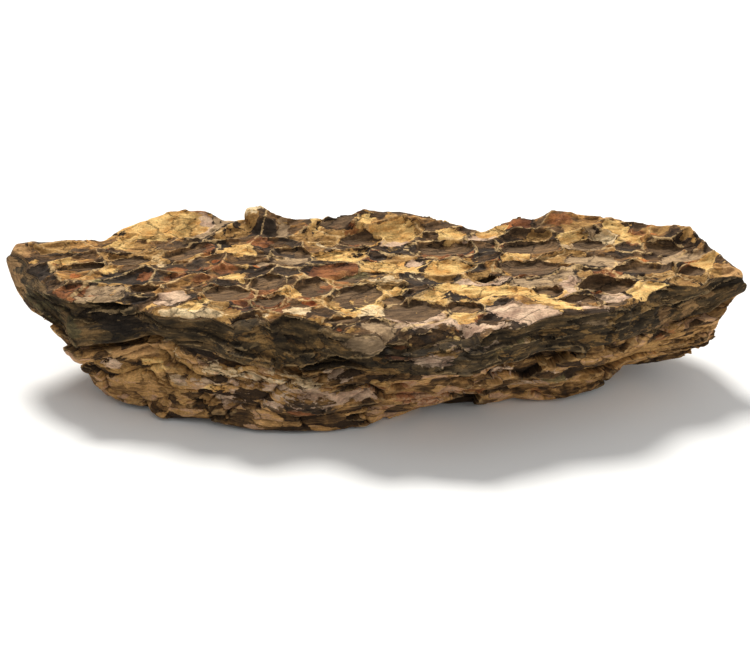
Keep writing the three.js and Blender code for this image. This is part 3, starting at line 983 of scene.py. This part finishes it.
@dataclass
class StoneSkin:
    """The whole outside of the stone, shaped finely from the solid.

    Attributes:
        spacing: between the skin's points before the flat stretches are thinned out.
        facets: how many rounds of smoothing take the solid's flat facets away.
        face: how many more even out the slab's steep edge.
        tuck: how far the lower rock's left flank is drawn in.
        lean: how far the knob's tip leans out to the left.
        margin: rounds of smoothing that tell how near the top's outer edge is.
        top: the relief of the top.
        sides: the relief of the sides.
        sharp: an edge that bends more than this, in degrees, is shaded sharp.
        slack: how far the skin may stand out of the solid's box.
        most: how many triangles the finished skin has at most.
        favour: how strongly the thinning heeds where the skin shows.
        shown: how much of the thinning falls where the skin shows most.
        wobble: how far a patch's edge wanders, and over what width it fades, in millimetres.
        bends: the rounds of smoothing that tell fine ridges and broad hills.
        steep: how much of a ridge's and a hill's height shows in their shade.
    """

    spacing: float = 0.78
    facets: int = 10
    face: int = 60
    tuck: float = 7.0
    lean: float = 3.0
    margin: int = 30
    top: PittedTop = PittedTop()
    sides: BrokenSides = BrokenSides()
    sharp: float = 50.0
    slack: float = 1.5
    most: int = 196000
    favour: float = 1e-6
    shown: float = 0.1
    wobble: tuple[float, float] = (1.2, 6.0)
    bends: tuple[int, int] = (3, 24)
    steep: tuple[float, float] = (1.2, 0.28)

    def build(self, node: str) -> bpy.types.Object:
        """Makes the skin that stands for a node of the solid.

        Args:
            node: the node's name.

        Returns:
            The finished piece, without its material.
        """
        stone = self._merged_copy(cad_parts[node])
        self._apply(stone, "REMESH", mode="VOXEL", voxel_size=self.spacing * MM)
        log.info("the even skin has %d faces", len(stone.data.polygons))
        surface = Surface.of(stone.data)
        surface.points = surface.web.eased(surface.points, self.facets)
        normals = surface.web.eased(surface.normals(), 4)
        zones = Zones.of(surface.points, normals)
        surface.flatten(normals, zones.slab * smooth(zones.above, 0.5, 3.0), self.face)
        surface.points[:, 0] += self._left_tuck(surface.points)
        surface.points[:, 0] -= self._knob_lean(surface.points)
        scooped = self.top.look(surface.points)
        clays = self._clays(surface.points, zones, normals)
        crust = self._crust(clays)
        for clay, mask in self.top.clays(scooped).items():
            clays[clay] = np.maximum(clays[clay], mask * zones.top * (1.0 - crust))
        side_marks = self.sides.carve(surface, zones, normals, crust)
        margin = smooth(surface.web.eased(zones.top, self.margin, 1.0), 0.5, 0.95)
        top_marks = self.top.carve(surface, zones, margin, crust, scooped)
        self._keep_in_box(surface, node)
        marks = side_marks + zones.top[:, None] * (top_marks - side_marks)
        lip = 4.0 * zones.top * (1.0 - zones.top) * smooth(zones.above, 4.0, 9.0) * (1.0 - margin)
        marks[:, 1] = np.maximum(marks[:, 1], 0.8 * lip)
        self._write(surface, zones, clays, crust, marks)
        back = (1.0 - zones.top) * smooth(normals[:, 1], 0.0, 0.3)
        self._thin(stone, np.maximum(zones.under, back) > 0.5)
        self._drop_specks(stone.data)
        stone.data.polygons.foreach_set("use_smooth", [True] * len(stone.data.polygons))
        stone.data.set_sharp_from_angle(angle=math.radians(self.sharp))
        stone.data.update()
        return stone

    @staticmethod
    def _merged_copy(solid: bpy.types.Object) -> bpy.types.Object:
        """Gives a copy of the solid with its doubled points merged."""
        mesh = bpy.data.meshes.new("dragon_stone")
        shell = bmesh.new()
        shell.from_mesh(solid.data)
        bmesh.ops.remove_doubles(shell, verts=shell.verts, dist=1e-3 * MM)
        shell.to_mesh(mesh)
        shell.free()
        stone = bpy.data.objects.new("dragon_stone", mesh)
        bpy.context.scene.collection.objects.link(stone)
        return stone

    @staticmethod
    def _apply(stone: bpy.types.Object, kind: str, **settings: object) -> None:
        """Puts a modifier on the stone, and its result in place of the stone's mesh."""
        modifier = stone.modifiers.new(kind.lower(), kind)
        for name, value in settings.items():
            setattr(modifier, name, value)
        graph = bpy.context.evaluated_depsgraph_get()
        shaped = bpy.data.meshes.new_from_object(stone.evaluated_get(graph))
        stone.modifiers.remove(modifier)
        old = stone.data
        stone.data = shaped
        bpy.data.meshes.remove(old)
        shaped.name = "dragon_stone"
        shaped.materials.clear()

    def _thin(self, stone: bpy.types.Object, hidden: Array) -> None:
        """Thins the skin out, most of all where it shows least.

        Args:
            stone: the piece.
            hidden: whether each point is where the skin shows least.
        """
        group = stone.vertex_groups.new(name="thinned")
        group.add(np.flatnonzero(hidden).tolist(), 1.0, "REPLACE")
        group.add(np.flatnonzero(~hidden).tolist(), self.shown, "REPLACE")
        self._apply(
            stone,
            "DECIMATE",
            decimate_type="COLLAPSE",
            ratio=min(self.most / (2.0 * len(stone.data.polygons)), 1.0),
            vertex_group=group.name,
            vertex_group_factor=self.favour,
        )
        stone.vertex_groups.clear()

    @staticmethod
    def _drop_specks(mesh: bpy.types.Mesh) -> None:
        """Keeps the outside of the stone, and takes away loose specks of skin within it."""
        shell = bmesh.new()
        shell.from_mesh(mesh)
        seen: set[bmesh.types.BMVert] = set()
        islands: list[list[bmesh.types.BMVert]] = []
        for start in shell.verts:
            if start in seen:
                continue
            seen.add(start)
            island = [start]
            for point in island:
                for edge in point.link_edges:
                    other = edge.other_vert(point)
                    if other not in seen:
                        seen.add(other)
                        island.append(other)
            islands.append(island)
        specks = sorted(islands, key=len)[:-1]
        log.info("%d loose specks are taken away", len(specks))
        loose = [point for speck in specks for point in speck]
        bmesh.ops.delete(shell, geom=loose, context="VERTS")
        shell.to_mesh(mesh)
        shell.free()

    def _left_tuck(self, points: Array) -> Array:
        """Gives how far the lower rock's left flank is drawn in: most at its foot."""
        share = smooth(-points[:, 0], 130.0, 165.0)
        return self.tuck * share * smooth(-points[:, 2], -48.0, -32.0)

    def _knob_lean(self, points: Array) -> Array:
        """Gives how far the knob leans out to the left."""
        out, _ = KNOB.place(points, Side.TOP)
        return self.lean * (1.0 - smooth(out, 0.55, 1.0)) * smooth(points[:, 2], 61.0, 71.0)

    def _clays(self, points: Array, zones: Zones, normals: Array) -> dict[Clay, Array]:
        """Gives how far inside a patch of each clay every point is: 0.5 is the patch's edge."""
        clays = {clay: np.zeros(len(points)) for clay in Clay}
        front = smooth(-normals[:, 1], 0.0, 0.3)
        facing = {Side.TOP: zones.top, Side.FRONT: front * (zones.slab + zones.lower)}
        wobble = self.wobble[0] * Swells((11.0, 11.0, 11.0), 131, 2).at(points)
        for patch in TOP_PATCHES + FRONT_PATCHES + FRONT_MOTTLES:
            out, _ = patch.outline.place(points, patch.side)
            narrow = min(patch.outline.length, patch.outline.width) / 2.0
            most = MOTTLED if patch in FRONT_MOTTLES else 1.0
            mask = np.clip(0.5 + ((1.0 - out) * narrow + wobble) / self.wobble[1], 0.0, most)
            clays[patch.clay] = np.maximum(clays[patch.clay], mask * facing[patch.side])
        behind = smooth(normals[:, 1], 0.2, 0.5) * (1.0 - zones.top)
        for k, clay in enumerate(BACK_CLAYS):
            field = Swells(BACK_STRETCH, 141 + 7 * k, 2).at(points)
            clays[clay] = np.maximum(clays[clay], np.clip(field + 0.05, 0.0, 1.0) * behind)
        return clays

    @staticmethod
    def _crust(clays: dict[Clay, Array]) -> Array:
        """Gives how much the smooth crusts hide the fine relief at each point."""
        hidden = [share * smooth(clays[clay], 0.4, 0.7) for clay, share in SMOOTH_CLAYS.items()]
        return np.max(hidden, axis=0)

    def _keep_in_box(self, surface: Surface, node: str) -> None:
        """Keeps the skin in the solid's box, and flat where the stone rests."""
        low, high = (np.array(corner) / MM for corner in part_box(node))
        low = low - np.array([self.slack, self.slack, 0.0])
        surface.points = np.clip(surface.points, low, high + self.slack)

    def _write(
        self, surface: Surface, zones: Zones, clays: dict[Clay, Array], crust: Array, marks: Array
    ) -> None:
        """Stores what the material needs to know about each point."""
        normals = surface.normals()
        # How far each point stands out of fine and broad surroundings: the material paints shade
        # into the hollows from these.
        fine = surface.bend(normals, self.bends[0])
        broad = surface.bend(surface.web.eased(normals, 4), self.bends[1])
        ridge = np.clip(0.5 + self.steep[0] * fine, 0.0, 1.0)
        hill = np.clip(0.5 + self.steep[1] * broad, 0.0, 1.0)
        surface.write("form", np.stack([ridge, hill, marks[:, 1]], -1))
        surface.write("zones", np.stack([zones.top, zones.slab, crust], -1))
        surface.write("marks", marks)
        surface.write("beds", zones.beds * MM)
        for name, members in CLAY_CHANNELS:
            surface.write(name, np.stack([clays[clay] for clay in members], -1))


def linear(colour: Rgb) -> tuple[float, float, float, float]:
    """Gives a screen colour, from 0 to 255, as the linear colour that a shader takes."""
    shares = [channel / 255.0 for channel in colour]
    light = [s / 12.92 if s <= 0.04045 else ((s + 0.055) / 1.055) ** 2.4 for s in shares]
    return (light[0], light[1], light[2], 1.0)


# Half of a random place or colour: its middle.
HALF = (0.5, 0.5, 0.5)


class Tree:
    """Short ways to add and join the nodes of a material.

    Attributes:
        tree: the material's nodes.
        body: places along the stone's own axes.
        beds: places along the stone's beds.
        split: 1 on the top, where patterns follow the body, and 0 where they follow the beds.
    """

    def __init__(self, tree: bpy.types.NodeTree) -> None:
        """Takes over an empty tree and adds what its patterns are placed by."""
        self.tree = tree
        self.body = self.add("ShaderNodeTexCoord", {}).outputs["Object"]
        self.beds = self.add("ShaderNodeAttribute", {}, attribute_name="beds").outputs["Vector"]
        self.split = self.step(self.channels("zones")[0], 0.5, 0.2)

    def add(self, kind: str, inputs: dict[int | str, object], **settings: object) -> Node:
        """Adds a node.

        Args:
            kind: the node's type.
            inputs: for each socket, by name or place, a value or the socket that it takes.
            settings: the node's own settings.

        Returns:
            The node.
        """
        node = self.tree.nodes.new(kind)
        for name, value in settings.items():
            setattr(node, name, value)
        for key, value in inputs.items():
            if isinstance(value, bpy.types.NodeSocket):
                self.tree.links.new(value, node.inputs[key])
            else:
                node.inputs[key].default_value = value
        return node

    def maths(self, operation: str, *values: object, clamp: bool = False) -> Socket:
        """Adds one step of arithmetic and gives its result."""
        node = self.add("ShaderNodeMath", dict(enumerate(values)), operation=operation)
        node.use_clamp = clamp
        return node.outputs[0]

    def times(self, first: object, second: object) -> Socket:
        """Multiplies two values."""
        return self.maths("MULTIPLY", first, second)

    def fit(self, value: object, factor: object, more: object, clamp: bool = False) -> Socket:
        """Multiplies a value by a factor and adds more to it."""
        return self.maths("MULTIPLY_ADD", value, factor, more, clamp=clamp)

    def vector(self, operation: str, *values: object) -> Node:
        """Adds one step of arithmetic with places."""
        return self.add("ShaderNodeVectorMath", dict(enumerate(values)), operation=operation)

    def mix(self, share: object, low: object, high: object) -> Socket:
        """Mixes two colours: share is 0 for low and 1 for high."""
        return self.add("ShaderNodeMix", {0: share, 6: low, 7: high}, data_type="RGBA").outputs[2]

    def scaled(self, colour: Socket, factor: Socket) -> Socket:
        """Makes a colour brighter or darker."""
        inputs = {0: colour, 3: factor}
        return self.add("ShaderNodeVectorMath", inputs, operation="SCALE").outputs[0]

    def step(self, value: Socket, middle: float, spread: float) -> Socket:
        """Gives 0 well below the middle, 1 well above it, and a smooth rise between."""
        inputs = {"Value": value, "From Min": middle - spread, "From Max": middle + spread}
        node = self.add("ShaderNodeMapRange", inputs, interpolation_type="SMOOTHSTEP")
        return node.outputs[0]

    def ramp(self, value: Socket, colours: Sequence[Rgb], low: float, high: float) -> Socket:
        """Gives the first colour at low, the last at high, and the others evenly between."""
        node = self.add("ShaderNodeValToRGB", {0: value})
        stops = node.color_ramp.elements
        while len(stops) < len(colours):
            stops.new(0.5)
        for k, colour in enumerate(colours):
            stops[k].position = low + (high - low) * k / (len(colours) - 1)
            stops[k].color = linear(colour)
        return node.outputs[0]

    def place(self, grain: "Grain") -> Socket:
        """Gives places in swells of a pattern, along the body on the top and the beds elsewhere."""
        shift = (grain.shift * MM, 0.0, 0.0)
        turn = (0.0, 0.0, math.radians(grain.turn))
        top, side = (tuple(n * MM for n in size) for size in (grain.top, grain.side))
        inputs = {"Vector": self.body, "Location": shift, "Rotation": turn, "Scale": top}
        high = self.add("ShaderNodeMapping", inputs, vector_type="TEXTURE").outputs[0]
        inputs = {"Vector": self.beds, "Location": shift, "Scale": side}
        low = self.add("ShaderNodeMapping", inputs, vector_type="TEXTURE").outputs[0]
        inputs = {0: self.split, 4: low, 5: high}
        return self.add("ShaderNodeMix", inputs, data_type="VECTOR").outputs[1]

    def swells(self, grain: "Grain") -> Socket:
        """Gives a smooth random pattern, from 0 to 1."""
        inputs = {"Vector": self.place(grain), "Scale": 1.0}
        inputs |= {"Detail": grain.detail, "Roughness": grain.rough}
        return self.add("ShaderNodeTexNoise", inputs).outputs[0]

    def cells(self, grain: "Grain") -> tuple[Socket, Socket, Socket]:
        """Splits the surface into crisp facets with bent borders.

        Args:
            grain: the facets' size.

        Returns:
            Each facet's random number, how far its tilt lifts it at each place, and how far the
            place is from the facet's border.
        """
        place = self.place(grain)
        inputs = {"Vector": place, "Scale": 2.2, "Detail": grain.detail, "Roughness": grain.rough}
        bend = self.add("ShaderNodeTexNoise", inputs).outputs[1]
        moved = self.vector("MULTIPLY_ADD", bend, HALF, place).outputs[0]
        inputs = {"Vector": moved, "Scale": 1.0}
        border = self.add("ShaderNodeTexVoronoi", inputs, feature="DISTANCE_TO_EDGE").outputs[0]
        facet = self.add("ShaderNodeTexVoronoi", inputs, feature="F1")
        apart = self.vector("SUBTRACT", moved, facet.outputs["Position"]).outputs[0]
        slope = self.vector("SUBTRACT", facet.outputs["Color"], HALF).outputs[0]
        tilt = self.vector("DOT_PRODUCT", apart, slope)
        split = self.add("ShaderNodeSeparateColor", {"Color": facet.outputs["Color"]})
        return split.outputs[0], tilt.outputs["Value"], border

    def channels(self, name: str) -> tuple[Socket, Socket, Socket]:
        """Gives the three channels of a colour attribute."""
        colour = self.add("ShaderNodeAttribute", {}, attribute_name=name).outputs["Color"]
        split = self.add("ShaderNodeSeparateColor", {"Color": colour})
        return (split.outputs[0], split.outputs[1], split.outputs[2])


@dataclass(frozen=True)
class Grain:
    """A random pattern of the material.

    Attributes:
        top: the length of a swell on the top, along X, Y and Z, in millimetres.
        side: the same on the sides, where the third length is across the beds.
        detail: how many finer layers it has.
        rough: how strong each finer layer is.
        turn: how far the pattern turns on the top, in degrees.
        shift: another shift gives another part of the pattern.
    """

    top: tuple[float, float, float]
    side: tuple[float, float, float]
    detail: float = 5.0
    rough: float = 0.6
    turn: float = 0.0
    shift: float = 0.0


@dataclass(frozen=True)
class ClayColours:
    """A clay's darker and lighter colour, and how much of what is under it shows through."""

    dark: Rgb
    light: Rgb
    cover: float = 0.9


CLAY_COLOURS: dict[Clay, ClayColours] = {
    Clay.OCHRE: ClayColours((144, 106, 61), (202, 160, 100), 0.85),
    Clay.YELLOW: ClayColours((206, 150, 80), (248, 212, 142), 0.92),
    Clay.RUST: ClayColours((104, 62, 42), (178, 112, 66), 0.68),
    Clay.PINK: ClayColours((176, 144, 124), (226, 198, 172), 0.92),
    Clay.GREY: ClayColours((136, 114, 90), (190, 163, 130), 0.9),
    Clay.CREAM: ClayColours((214, 184, 142), (252, 230, 190), 0.85),
    # Slate also colours the painted shadow under the slab's overhang on the front.
    Clay.SLATE: ClayColours((42, 36, 32), (70, 60, 52), 0.85),
    Clay.OLIVE: ClayColours((92, 84, 56), (142, 130, 90), 0.8),
    Clay.TAN: ClayColours((156, 118, 80), (208, 166, 114), 0.9),
}


@dataclass(frozen=True)
class Flecks:
    """Small patches of one clay all over the top.

    Attributes:
        dark: the clay's darker colour.
        light: its lighter colour.
        over: a higher level makes the flecks fewer and smaller.
        shift: another shift puts them elsewhere.
    """

    dark: Rgb
    light: Rgb
    over: float
    shift: float


@dataclass(frozen=True)
class RockFinish:
    """Dry, earthy clay rock: brown under patches of other clays, pale on its thin rims.

    Attributes:
        top: the colours of the scoops of the top, from the darkest to the palest.
        floor: the darker and lighter colour of the pits' floors.
        face: the colours of the slab's steep edge.
        rock: the colours of the lower rock.
        pale: the thin rims.
        dirt_and_shade: the colour of the cracks, and of the painted shade in hollows.
        flecks: small patches all over the top.
        cloud: the broad pattern of the colours.
        streaks: the fine lines along the blades and the beds.
        ragged: what makes the patches' edges uneven.
        flakes: the thin, broken layers of the surface.
        sand: the finest grain.
        facet: the small, crisp facets.
        line: the width of the lines between them, as a share of a facet.
        cracked: where those lines are cracks: elsewhere they are pale rims.
        pale_lines: how pale the rims of the small facets are.
        tint: what all the colours are multiplied by.
        roughness: of all of it.
        shine: the strength of its reflections.
        spans: the tones of the first and last colour of the top, the slab's edge and the rock.
        chip_shades: how much the chips of the slab's edge and of the rock differ in brown.
        facet_shade: how much the facets differ in brown.
        slab_painted_shade: how much painted shade darkens the slab's steep edge and its patches.
        fleck_cover: how much of what is under a fleck it hides.
        floor_cover: the same for the pits' smooth floors.
        sand_light: how much brighter the sand is than the dark between it, and how bright that is.
        flake_light: the same for the flakes.
        heights: of the sand, of the facets' tilt and of the facets, next to the flakes' height.
        crack_depth: of the cracks, next to the flakes' height.
        crust_calm: how much of all that the smooth crusts hide.
        relief: how far the finest relief stands out, in millimetres.
        strength: how strongly it shows.
        rim_level: how raised a ragged rim is where it turns pale, and how softly it does.
        crest_level: the same for the crests of the shape.
        paling: how much paler rims are on the top, and how pale they are elsewhere.
        hollows: how much painted shade darkens small and broad hollows, and how much cracks darken.
        dirt_and_shade_cover: how much of the rock the cracks and painted shade hide at most.
    """

    top: tuple[Rgb, ...] = (
        (46, 34, 24), (74, 56, 39), (98, 75, 52), (120, 92, 64), (150, 110, 64), (196, 148, 88),
    )
    floor: tuple[Rgb, Rgb] = ((82, 64, 47), (142, 116, 88))
    face: tuple[Rgb, ...] = ((54, 46, 33), (80, 67, 47), (118, 97, 66), (168, 134, 88))
    rock: tuple[Rgb, ...] = (
        (58, 43, 29), (102, 77, 49), (164, 126, 80), (206, 162, 106), (190, 152, 122),
    )
    pale: Rgb = (222, 190, 140)
    dirt_and_shade: Rgb = (28, 20, 13)
    flecks: tuple[Flecks, ...] = (
        Flecks((56, 43, 32), (84, 66, 48), 0.6, 500.0),
        Flecks((150, 78, 42), (200, 124, 66), 0.665, 1000.0),
        Flecks((190, 142, 78), (240, 198, 128), 0.64, 1500.0),
    )
    fleck_grain: Grain = Grain((13.0, 8.0, 8.0), (14.0, 14.0, 6.0), 3.0, 0.5)
    cloud: Grain = Grain((9.0, 7.0, 7.0), (10.0, 10.0, 5.0))
    streaks: Grain = Grain((11.0, 1.8, 2.4), (12.0, 12.0, 1.7), 6.0, 0.65, 14.0)
    ragged: Grain = Grain((4.5, 3.6, 3.2), (6.0, 6.0, 2.6), 6.0, 0.65)
    flakes: Grain = Grain((6.0, 2.8, 2.8), (8.0, 8.0, 1.8), 6.0, 0.66, 10.0, 11.0)
    sand: Grain = Grain((1.1, 1.1, 1.0), (1.2, 1.2, 0.8), 4.0, 0.7)
    facet: Grain = Grain((15.0, 8.0, 9.0), (11.0, 11.0, 3.6), 4.0, 0.6, 12.0)
    line: float = 0.025
    cracked: Grain = Grain((24.0, 18.0, 18.0), (26.0, 26.0, 14.0), 2.0, 0.5, 0.0, 2000.0)
    pale_lines: float = 0.25
    tint: tuple[float, float, float] = (0.98, 0.93, 0.84)
    roughness: float = 0.92
    shine: float = 0.25
    spans: tuple[tuple[float, float], ...] = ((0.3, 0.78), (0.36, 0.64), (0.34, 0.68))
    chip_shades: tuple[float, float] = (0.16, 0.28)
    facet_shade: float = 0.36
    slab_painted_shade: float = 0.5
    fleck_cover: float = 0.9
    floor_cover: float = 0.75
    sand_light: tuple[float, float] = (0.5, 0.74)
    flake_light: tuple[float, float] = (0.36, 0.82)
    heights: tuple[float, float, float] = (0.45, 2.2, 0.5)
    crack_depth: float = 0.5
    crust_calm: float = 0.75
    relief: float = 1.3
    strength: float = 0.9
    rim_level: tuple[float, float] = (1.4, 0.14)
    crest_level: tuple[float, float] = (1.18, 0.1)
    paling: tuple[float, float] = (0.45, 0.35)
    hollows: tuple[float, float, float] = (0.9, 0.7, 0.5)
    dirt_and_shade_cover: float = 0.85

    def material(self) -> bpy.types.Material:
        """Builds the material."""
        material = bpy.data.materials.new("clay_rock")
        material.use_nodes = True
        material.node_tree.nodes.clear()
        tree = Tree(material.node_tree)
        form = tree.channels("form")
        top, slab, crust = tree.channels("zones")
        inside, _, number = tree.channels("marks")
        grains = (self.cloud, self.streaks, self.ragged, self.flakes, self.sand)
        cloud, streaks, ragged, flakes, sand = [tree.swells(grain) for grain in grains]
        facet, tilt, border = tree.cells(self.facet)
        cracked = tree.step(tree.swells(self.cracked), 0.5, 0.06)
        line = tree.maths("SUBTRACT", 1.0, tree.step(border, self.line, self.line))
        cracks = tree.times(line, cracked)
        lift = self._around(tree, facet, self.facet_shade)
        upper = self._upper(tree, (number, inside, cloud, streaks, lift))
        sides = self._sides(tree, (number, slab, cloud, streaks, lift))
        colour = tree.mix(tree.split, sides, upper)
        colour = self._patches(tree, colour, (cloud, streaks, ragged, facet))
        # Painted shade: the slab's steep edge, patches and all, is darkened.
        side = tree.maths("SUBTRACT", 1.0, top)
        colour = tree.scaled(colour, tree.fit(tree.times(slab, side), -self.slab_painted_shade, 1.0))
        gap = tree.fit(tree.times(inside, side), 0.6, cracks)
        thin = tree.maths("SUBTRACT", line, cracks)
        rim = tree.maths("MAXIMUM", form[2], tree.times(thin, tree.times(top, self.pale_lines)))
        # Pale rims, dark cracks, and painted shade in the hollows.
        colour = self._wear_and_shade(tree, colour, (form[0], form[1], rim, top, gap, ragged))
        bright = tree.fit(tree.step(sand, 0.5, 0.22), *self.sand_light)
        worn = tree.fit(tree.step(flakes, 0.5, 0.2), *self.flake_light)
        colour = tree.scaled(colour, tree.times(bright, worn))
        colour = tree.vector("MULTIPLY", colour, self.tint).outputs[0]
        bump = self._relief(tree, (flakes, (sand, tilt, facet), crust, cracks))
        inputs = {"Base Color": colour, "Normal": bump}
        inputs |= {"Roughness": self.roughness, "Specular IOR Level": self.shine}
        shader = tree.add("ShaderNodeBsdfPrincipled", inputs)
        tree.add("ShaderNodeOutputMaterial", {"Surface": shader.outputs[0]})
        return material

    @staticmethod
    def _around(tree: Tree, value: Socket, spread: float) -> Socket:
        """Spreads a value from 0 to 1 evenly around 0."""
        return tree.fit(value, spread, -spread / 2.0)

    def _relief(self, tree: Tree, patterns: tuple[object, ...]) -> Socket:
        """Gives the finest relief, which the smooth crusts mostly hide."""
        height, fine, crust, cracks = patterns
        for pattern, share in zip(fine, self.heights):
            height = tree.fit(pattern, share, height)
        height = tree.times(height, tree.fit(crust, -self.crust_calm, 1.0))
        height = tree.fit(cracks, -self.crack_depth, height)
        inputs = {"Strength": self.strength, "Distance": self.relief * MM, "Height": height}
        return tree.add("ShaderNodeBump", inputs).outputs[0]

    def _upper(self, tree: Tree, marks: tuple[Socket, ...]) -> Socket:
        """Colours the top: each scoop has its own brown, and the pits have smooth floors."""
        number, inside, cloud, streaks, lift = marks
        tone = tree.fit(number, 0.5, tree.times(cloud, 0.45))
        tone = tree.maths("ADD", tone, lift)
        tone = tree.maths("ADD", tone, self._around(tree, streaks, 0.8))
        colour = tree.ramp(tone, self.top, *self.spans[0])
        bare = tree.fit(inside, -0.8, 1.0)
        light = tree.step(cloud, 0.5, 0.15)
        for fleck in self.flecks:
            field = tree.swells(replace(self.fleck_grain, shift=fleck.shift))
            share = tree.times(tree.step(field, fleck.over, 0.015), bare)
            own = tree.mix(light, linear(fleck.dark), linear(fleck.light))
            colour = tree.mix(tree.times(share, self.fleck_cover), colour, own)
        floor = tree.mix(tree.step(streaks, 0.5, 0.2), linear(self.floor[0]), linear(self.floor[1]))
        return tree.mix(tree.times(inside, self.floor_cover), colour, floor)

    def _sides(self, tree: Tree, marks: tuple[Socket, ...]) -> Socket:
        """Colours the slab's dark edge and the lower rock, where each chip has its own brown."""
        number, slab, cloud, streaks, lift = marks
        tone = tree.fit(streaks, 0.5, tree.times(cloud, 0.5))
        own, wide = (self._around(tree, number, shade) for shade in self.chip_shades)
        face = tree.ramp(tree.maths("ADD", tone, own), self.face, *self.spans[1])
        tone = tree.maths("ADD", tree.maths("ADD", tone, wide), lift)
        rock = tree.ramp(tone, self.rock, *self.spans[2])
        return tree.mix(slab, rock, face)

    def _patches(self, tree: Tree, colour: Socket, patterns: tuple[Socket, ...]) -> Socket:
        """Lays the patches of clay over the rock, with ragged edges."""
        cloud, streaks, ragged, facet = patterns
        wide = tree.fit(facet, 0.4, tree.fit(ragged, 1.5, -0.95))
        both = tree.fit(cloud, 0.6, tree.times(streaks, 0.4))
        tone = tree.step(both, 0.48, 0.13)
        masks: dict[Clay, Socket] = {}
        for name, members in CLAY_CHANNELS:
            masks |= dict(zip(members, tree.channels(name)))
        for clay in CLAY_LAYERS:
            finish = CLAY_COLOURS[clay]
            own = tree.mix(tone, linear(finish.dark), linear(finish.light))
            edge = tree.step(tree.maths("ADD", masks[clay], wide), 0.55, 0.06)
            colour = tree.mix(tree.times(edge, finish.cover), colour, own)
        return colour

    def _wear_and_shade(self, tree: Tree, colour: Socket, form: tuple[Socket, ...]) -> Socket:
        """Makes the rims pale and the cracks dark, and paints shade into the hollows.

        Args:
            tree: the material's nodes.
            colour: what is under the wear.
            form: the ridges, hills, rims, the top, the cracks and what makes them uneven.

        Returns:
            The worn colour, with painted shade in the hollows.
        """
        ridge, hill, rim, top, crack, ragged = form
        line = tree.step(tree.fit(ragged, 1.3, rim), *self.rim_level)
        crest = tree.times(tree.step(tree.fit(ragged, 0.5, ridge), *self.crest_level), 0.7)
        share = tree.times(tree.maths("MAXIMUM", line, crest), tree.fit(top, *self.paling))
        colour = tree.mix(share, colour, linear(self.pale))
        # Painted shade: small and broad hollows are darkened with the cracks' dark colour.
        dip = tree.maths("SUBTRACT", 0.5, ridge, clamp=True)
        low = tree.maths("SUBTRACT", 0.5, hill, clamp=True)
        small, broad, cracked = self.hollows
        dark = tree.fit(crack, cracked, tree.fit(dip, small, tree.times(low, broad)), clamp=True)
        return tree.mix(tree.times(dark, self.dirt_and_shade_cover), colour, linear(self.dirt_and_shade))


@dataclass
class Studio:
    """The pale floor, the soft light and the camera.

    Attributes:
        floor: the half-width of the floor, in metres.
        elevation: how far the camera looks down, in degrees.
        distance: from the camera to what it looks at, in metres.
        lens: the camera's lens, in millimetres, on a sensor of 36 mm.
        target: what the camera looks at, in metres.
        sky: the strength of the even light from all around.
        pale: the floor's colour.
    """

    floor: float = 6.0
    elevation: float = 26.0
    distance: float = 0.905
    lens: float = 85.0
    target: tuple[float, float, float] = (0.001, 0.0007, 0.034)
    sky: float = 0.5
    pale: tuple[float, float, float, float] = (0.86, 0.86, 0.85, 1.0)

    def build(self) -> None:
        """Adds everything around the stone."""
        self._ground()
        self._light("key", (-0.25, 0.75, 1.15), 18.0, 3.5, (1.0, 0.98, 0.94))
        self._light("fill", (1.0, -0.5, 0.4), 50.0, 0.9, (1.0, 0.98, 0.95))
        world = bpy.data.worlds.new("studio")
        world.use_nodes = True
        background = world.node_tree.nodes["Background"]
        background.inputs["Color"].default_value = (1.0, 1.0, 1.0, 1.0)
        background.inputs["Strength"].default_value = self.sky
        bpy.context.scene.world = world
        bpy.context.scene.view_settings.view_transform = "Standard"
        self._camera()

    def _ground(self) -> None:
        """Adds the floor."""
        half = self.floor
        mesh = bpy.data.meshes.new("floor")
        corners = [(-half, -half, 0.0), (half, -half, 0.0), (half, half, 0.0), (-half, half, 0.0)]
        mesh.from_pydata(corners, [], [(0, 1, 2, 3)])
        floor = bpy.data.objects.new("floor", mesh)
        bpy.context.scene.collection.objects.link(floor)
        material = bpy.data.materials.new("floor")
        material.use_nodes = True
        shader = material.node_tree.nodes["Principled BSDF"]
        shader.inputs["Base Color"].default_value = self.pale
        shader.inputs["Roughness"].default_value = 0.9
        mesh.materials.append(material)

    def _light(
        self,
        name: str,
        place: tuple[float, float, float],
        spread: float,
        power: float,
        colour: tuple[float, float, float],
    ) -> None:
        """Adds a far lamp that faces the stone.

        Args:
            name: the lamp's name.
            place: the way to the lamp from the stone.
            spread: how wide the lamp looks from the stone, in degrees: wider is softer.
            power: its strength.
            colour: its colour.
        """
        lamp = bpy.data.lights.new(name, "SUN")
        lamp.angle = math.radians(spread)
        lamp.energy = power
        lamp.color = colour
        light = bpy.data.objects.new(name, lamp)
        light.location = place
        tilt = math.atan2(math.hypot(place[0], place[1]), place[2])
        light.rotation_euler = (tilt, 0.0, math.atan2(place[0], -place[1]))
        bpy.context.scene.collection.objects.link(light)

    def _camera(self) -> None:
        """Adds the camera, level and facing +Y."""
        lens = bpy.data.cameras.new("camera")
        lens.lens = self.lens
        lens.clip_start = 0.01
        camera = bpy.data.objects.new("camera", lens)
        angle = math.radians(self.elevation)
        x, y, z = self.target
        back = self.distance * math.cos(angle)
        camera.location = (x, y - back, z + self.distance * math.sin(angle))
        camera.rotation_euler = (math.pi / 2.0 - angle, 0.0, 0.0)
        bpy.context.scene.collection.objects.link(camera)
        bpy.context.scene.camera = camera


def main() -> None:
    """Builds the stone and the studio in order."""
    logging.basicConfig(level=logging.INFO, format="%(name)s: %(message)s")
    stone = StoneSkin().build("stone")
    stone.data.materials.append(RockFinish().material())
    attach(stone, "root")
    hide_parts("stone")
    log.info("%s has %d faces", stone.name, len(stone.data.polygons))
    Studio().build()
    log.info("the studio is up")


if __name__ == "__main__":
    main()
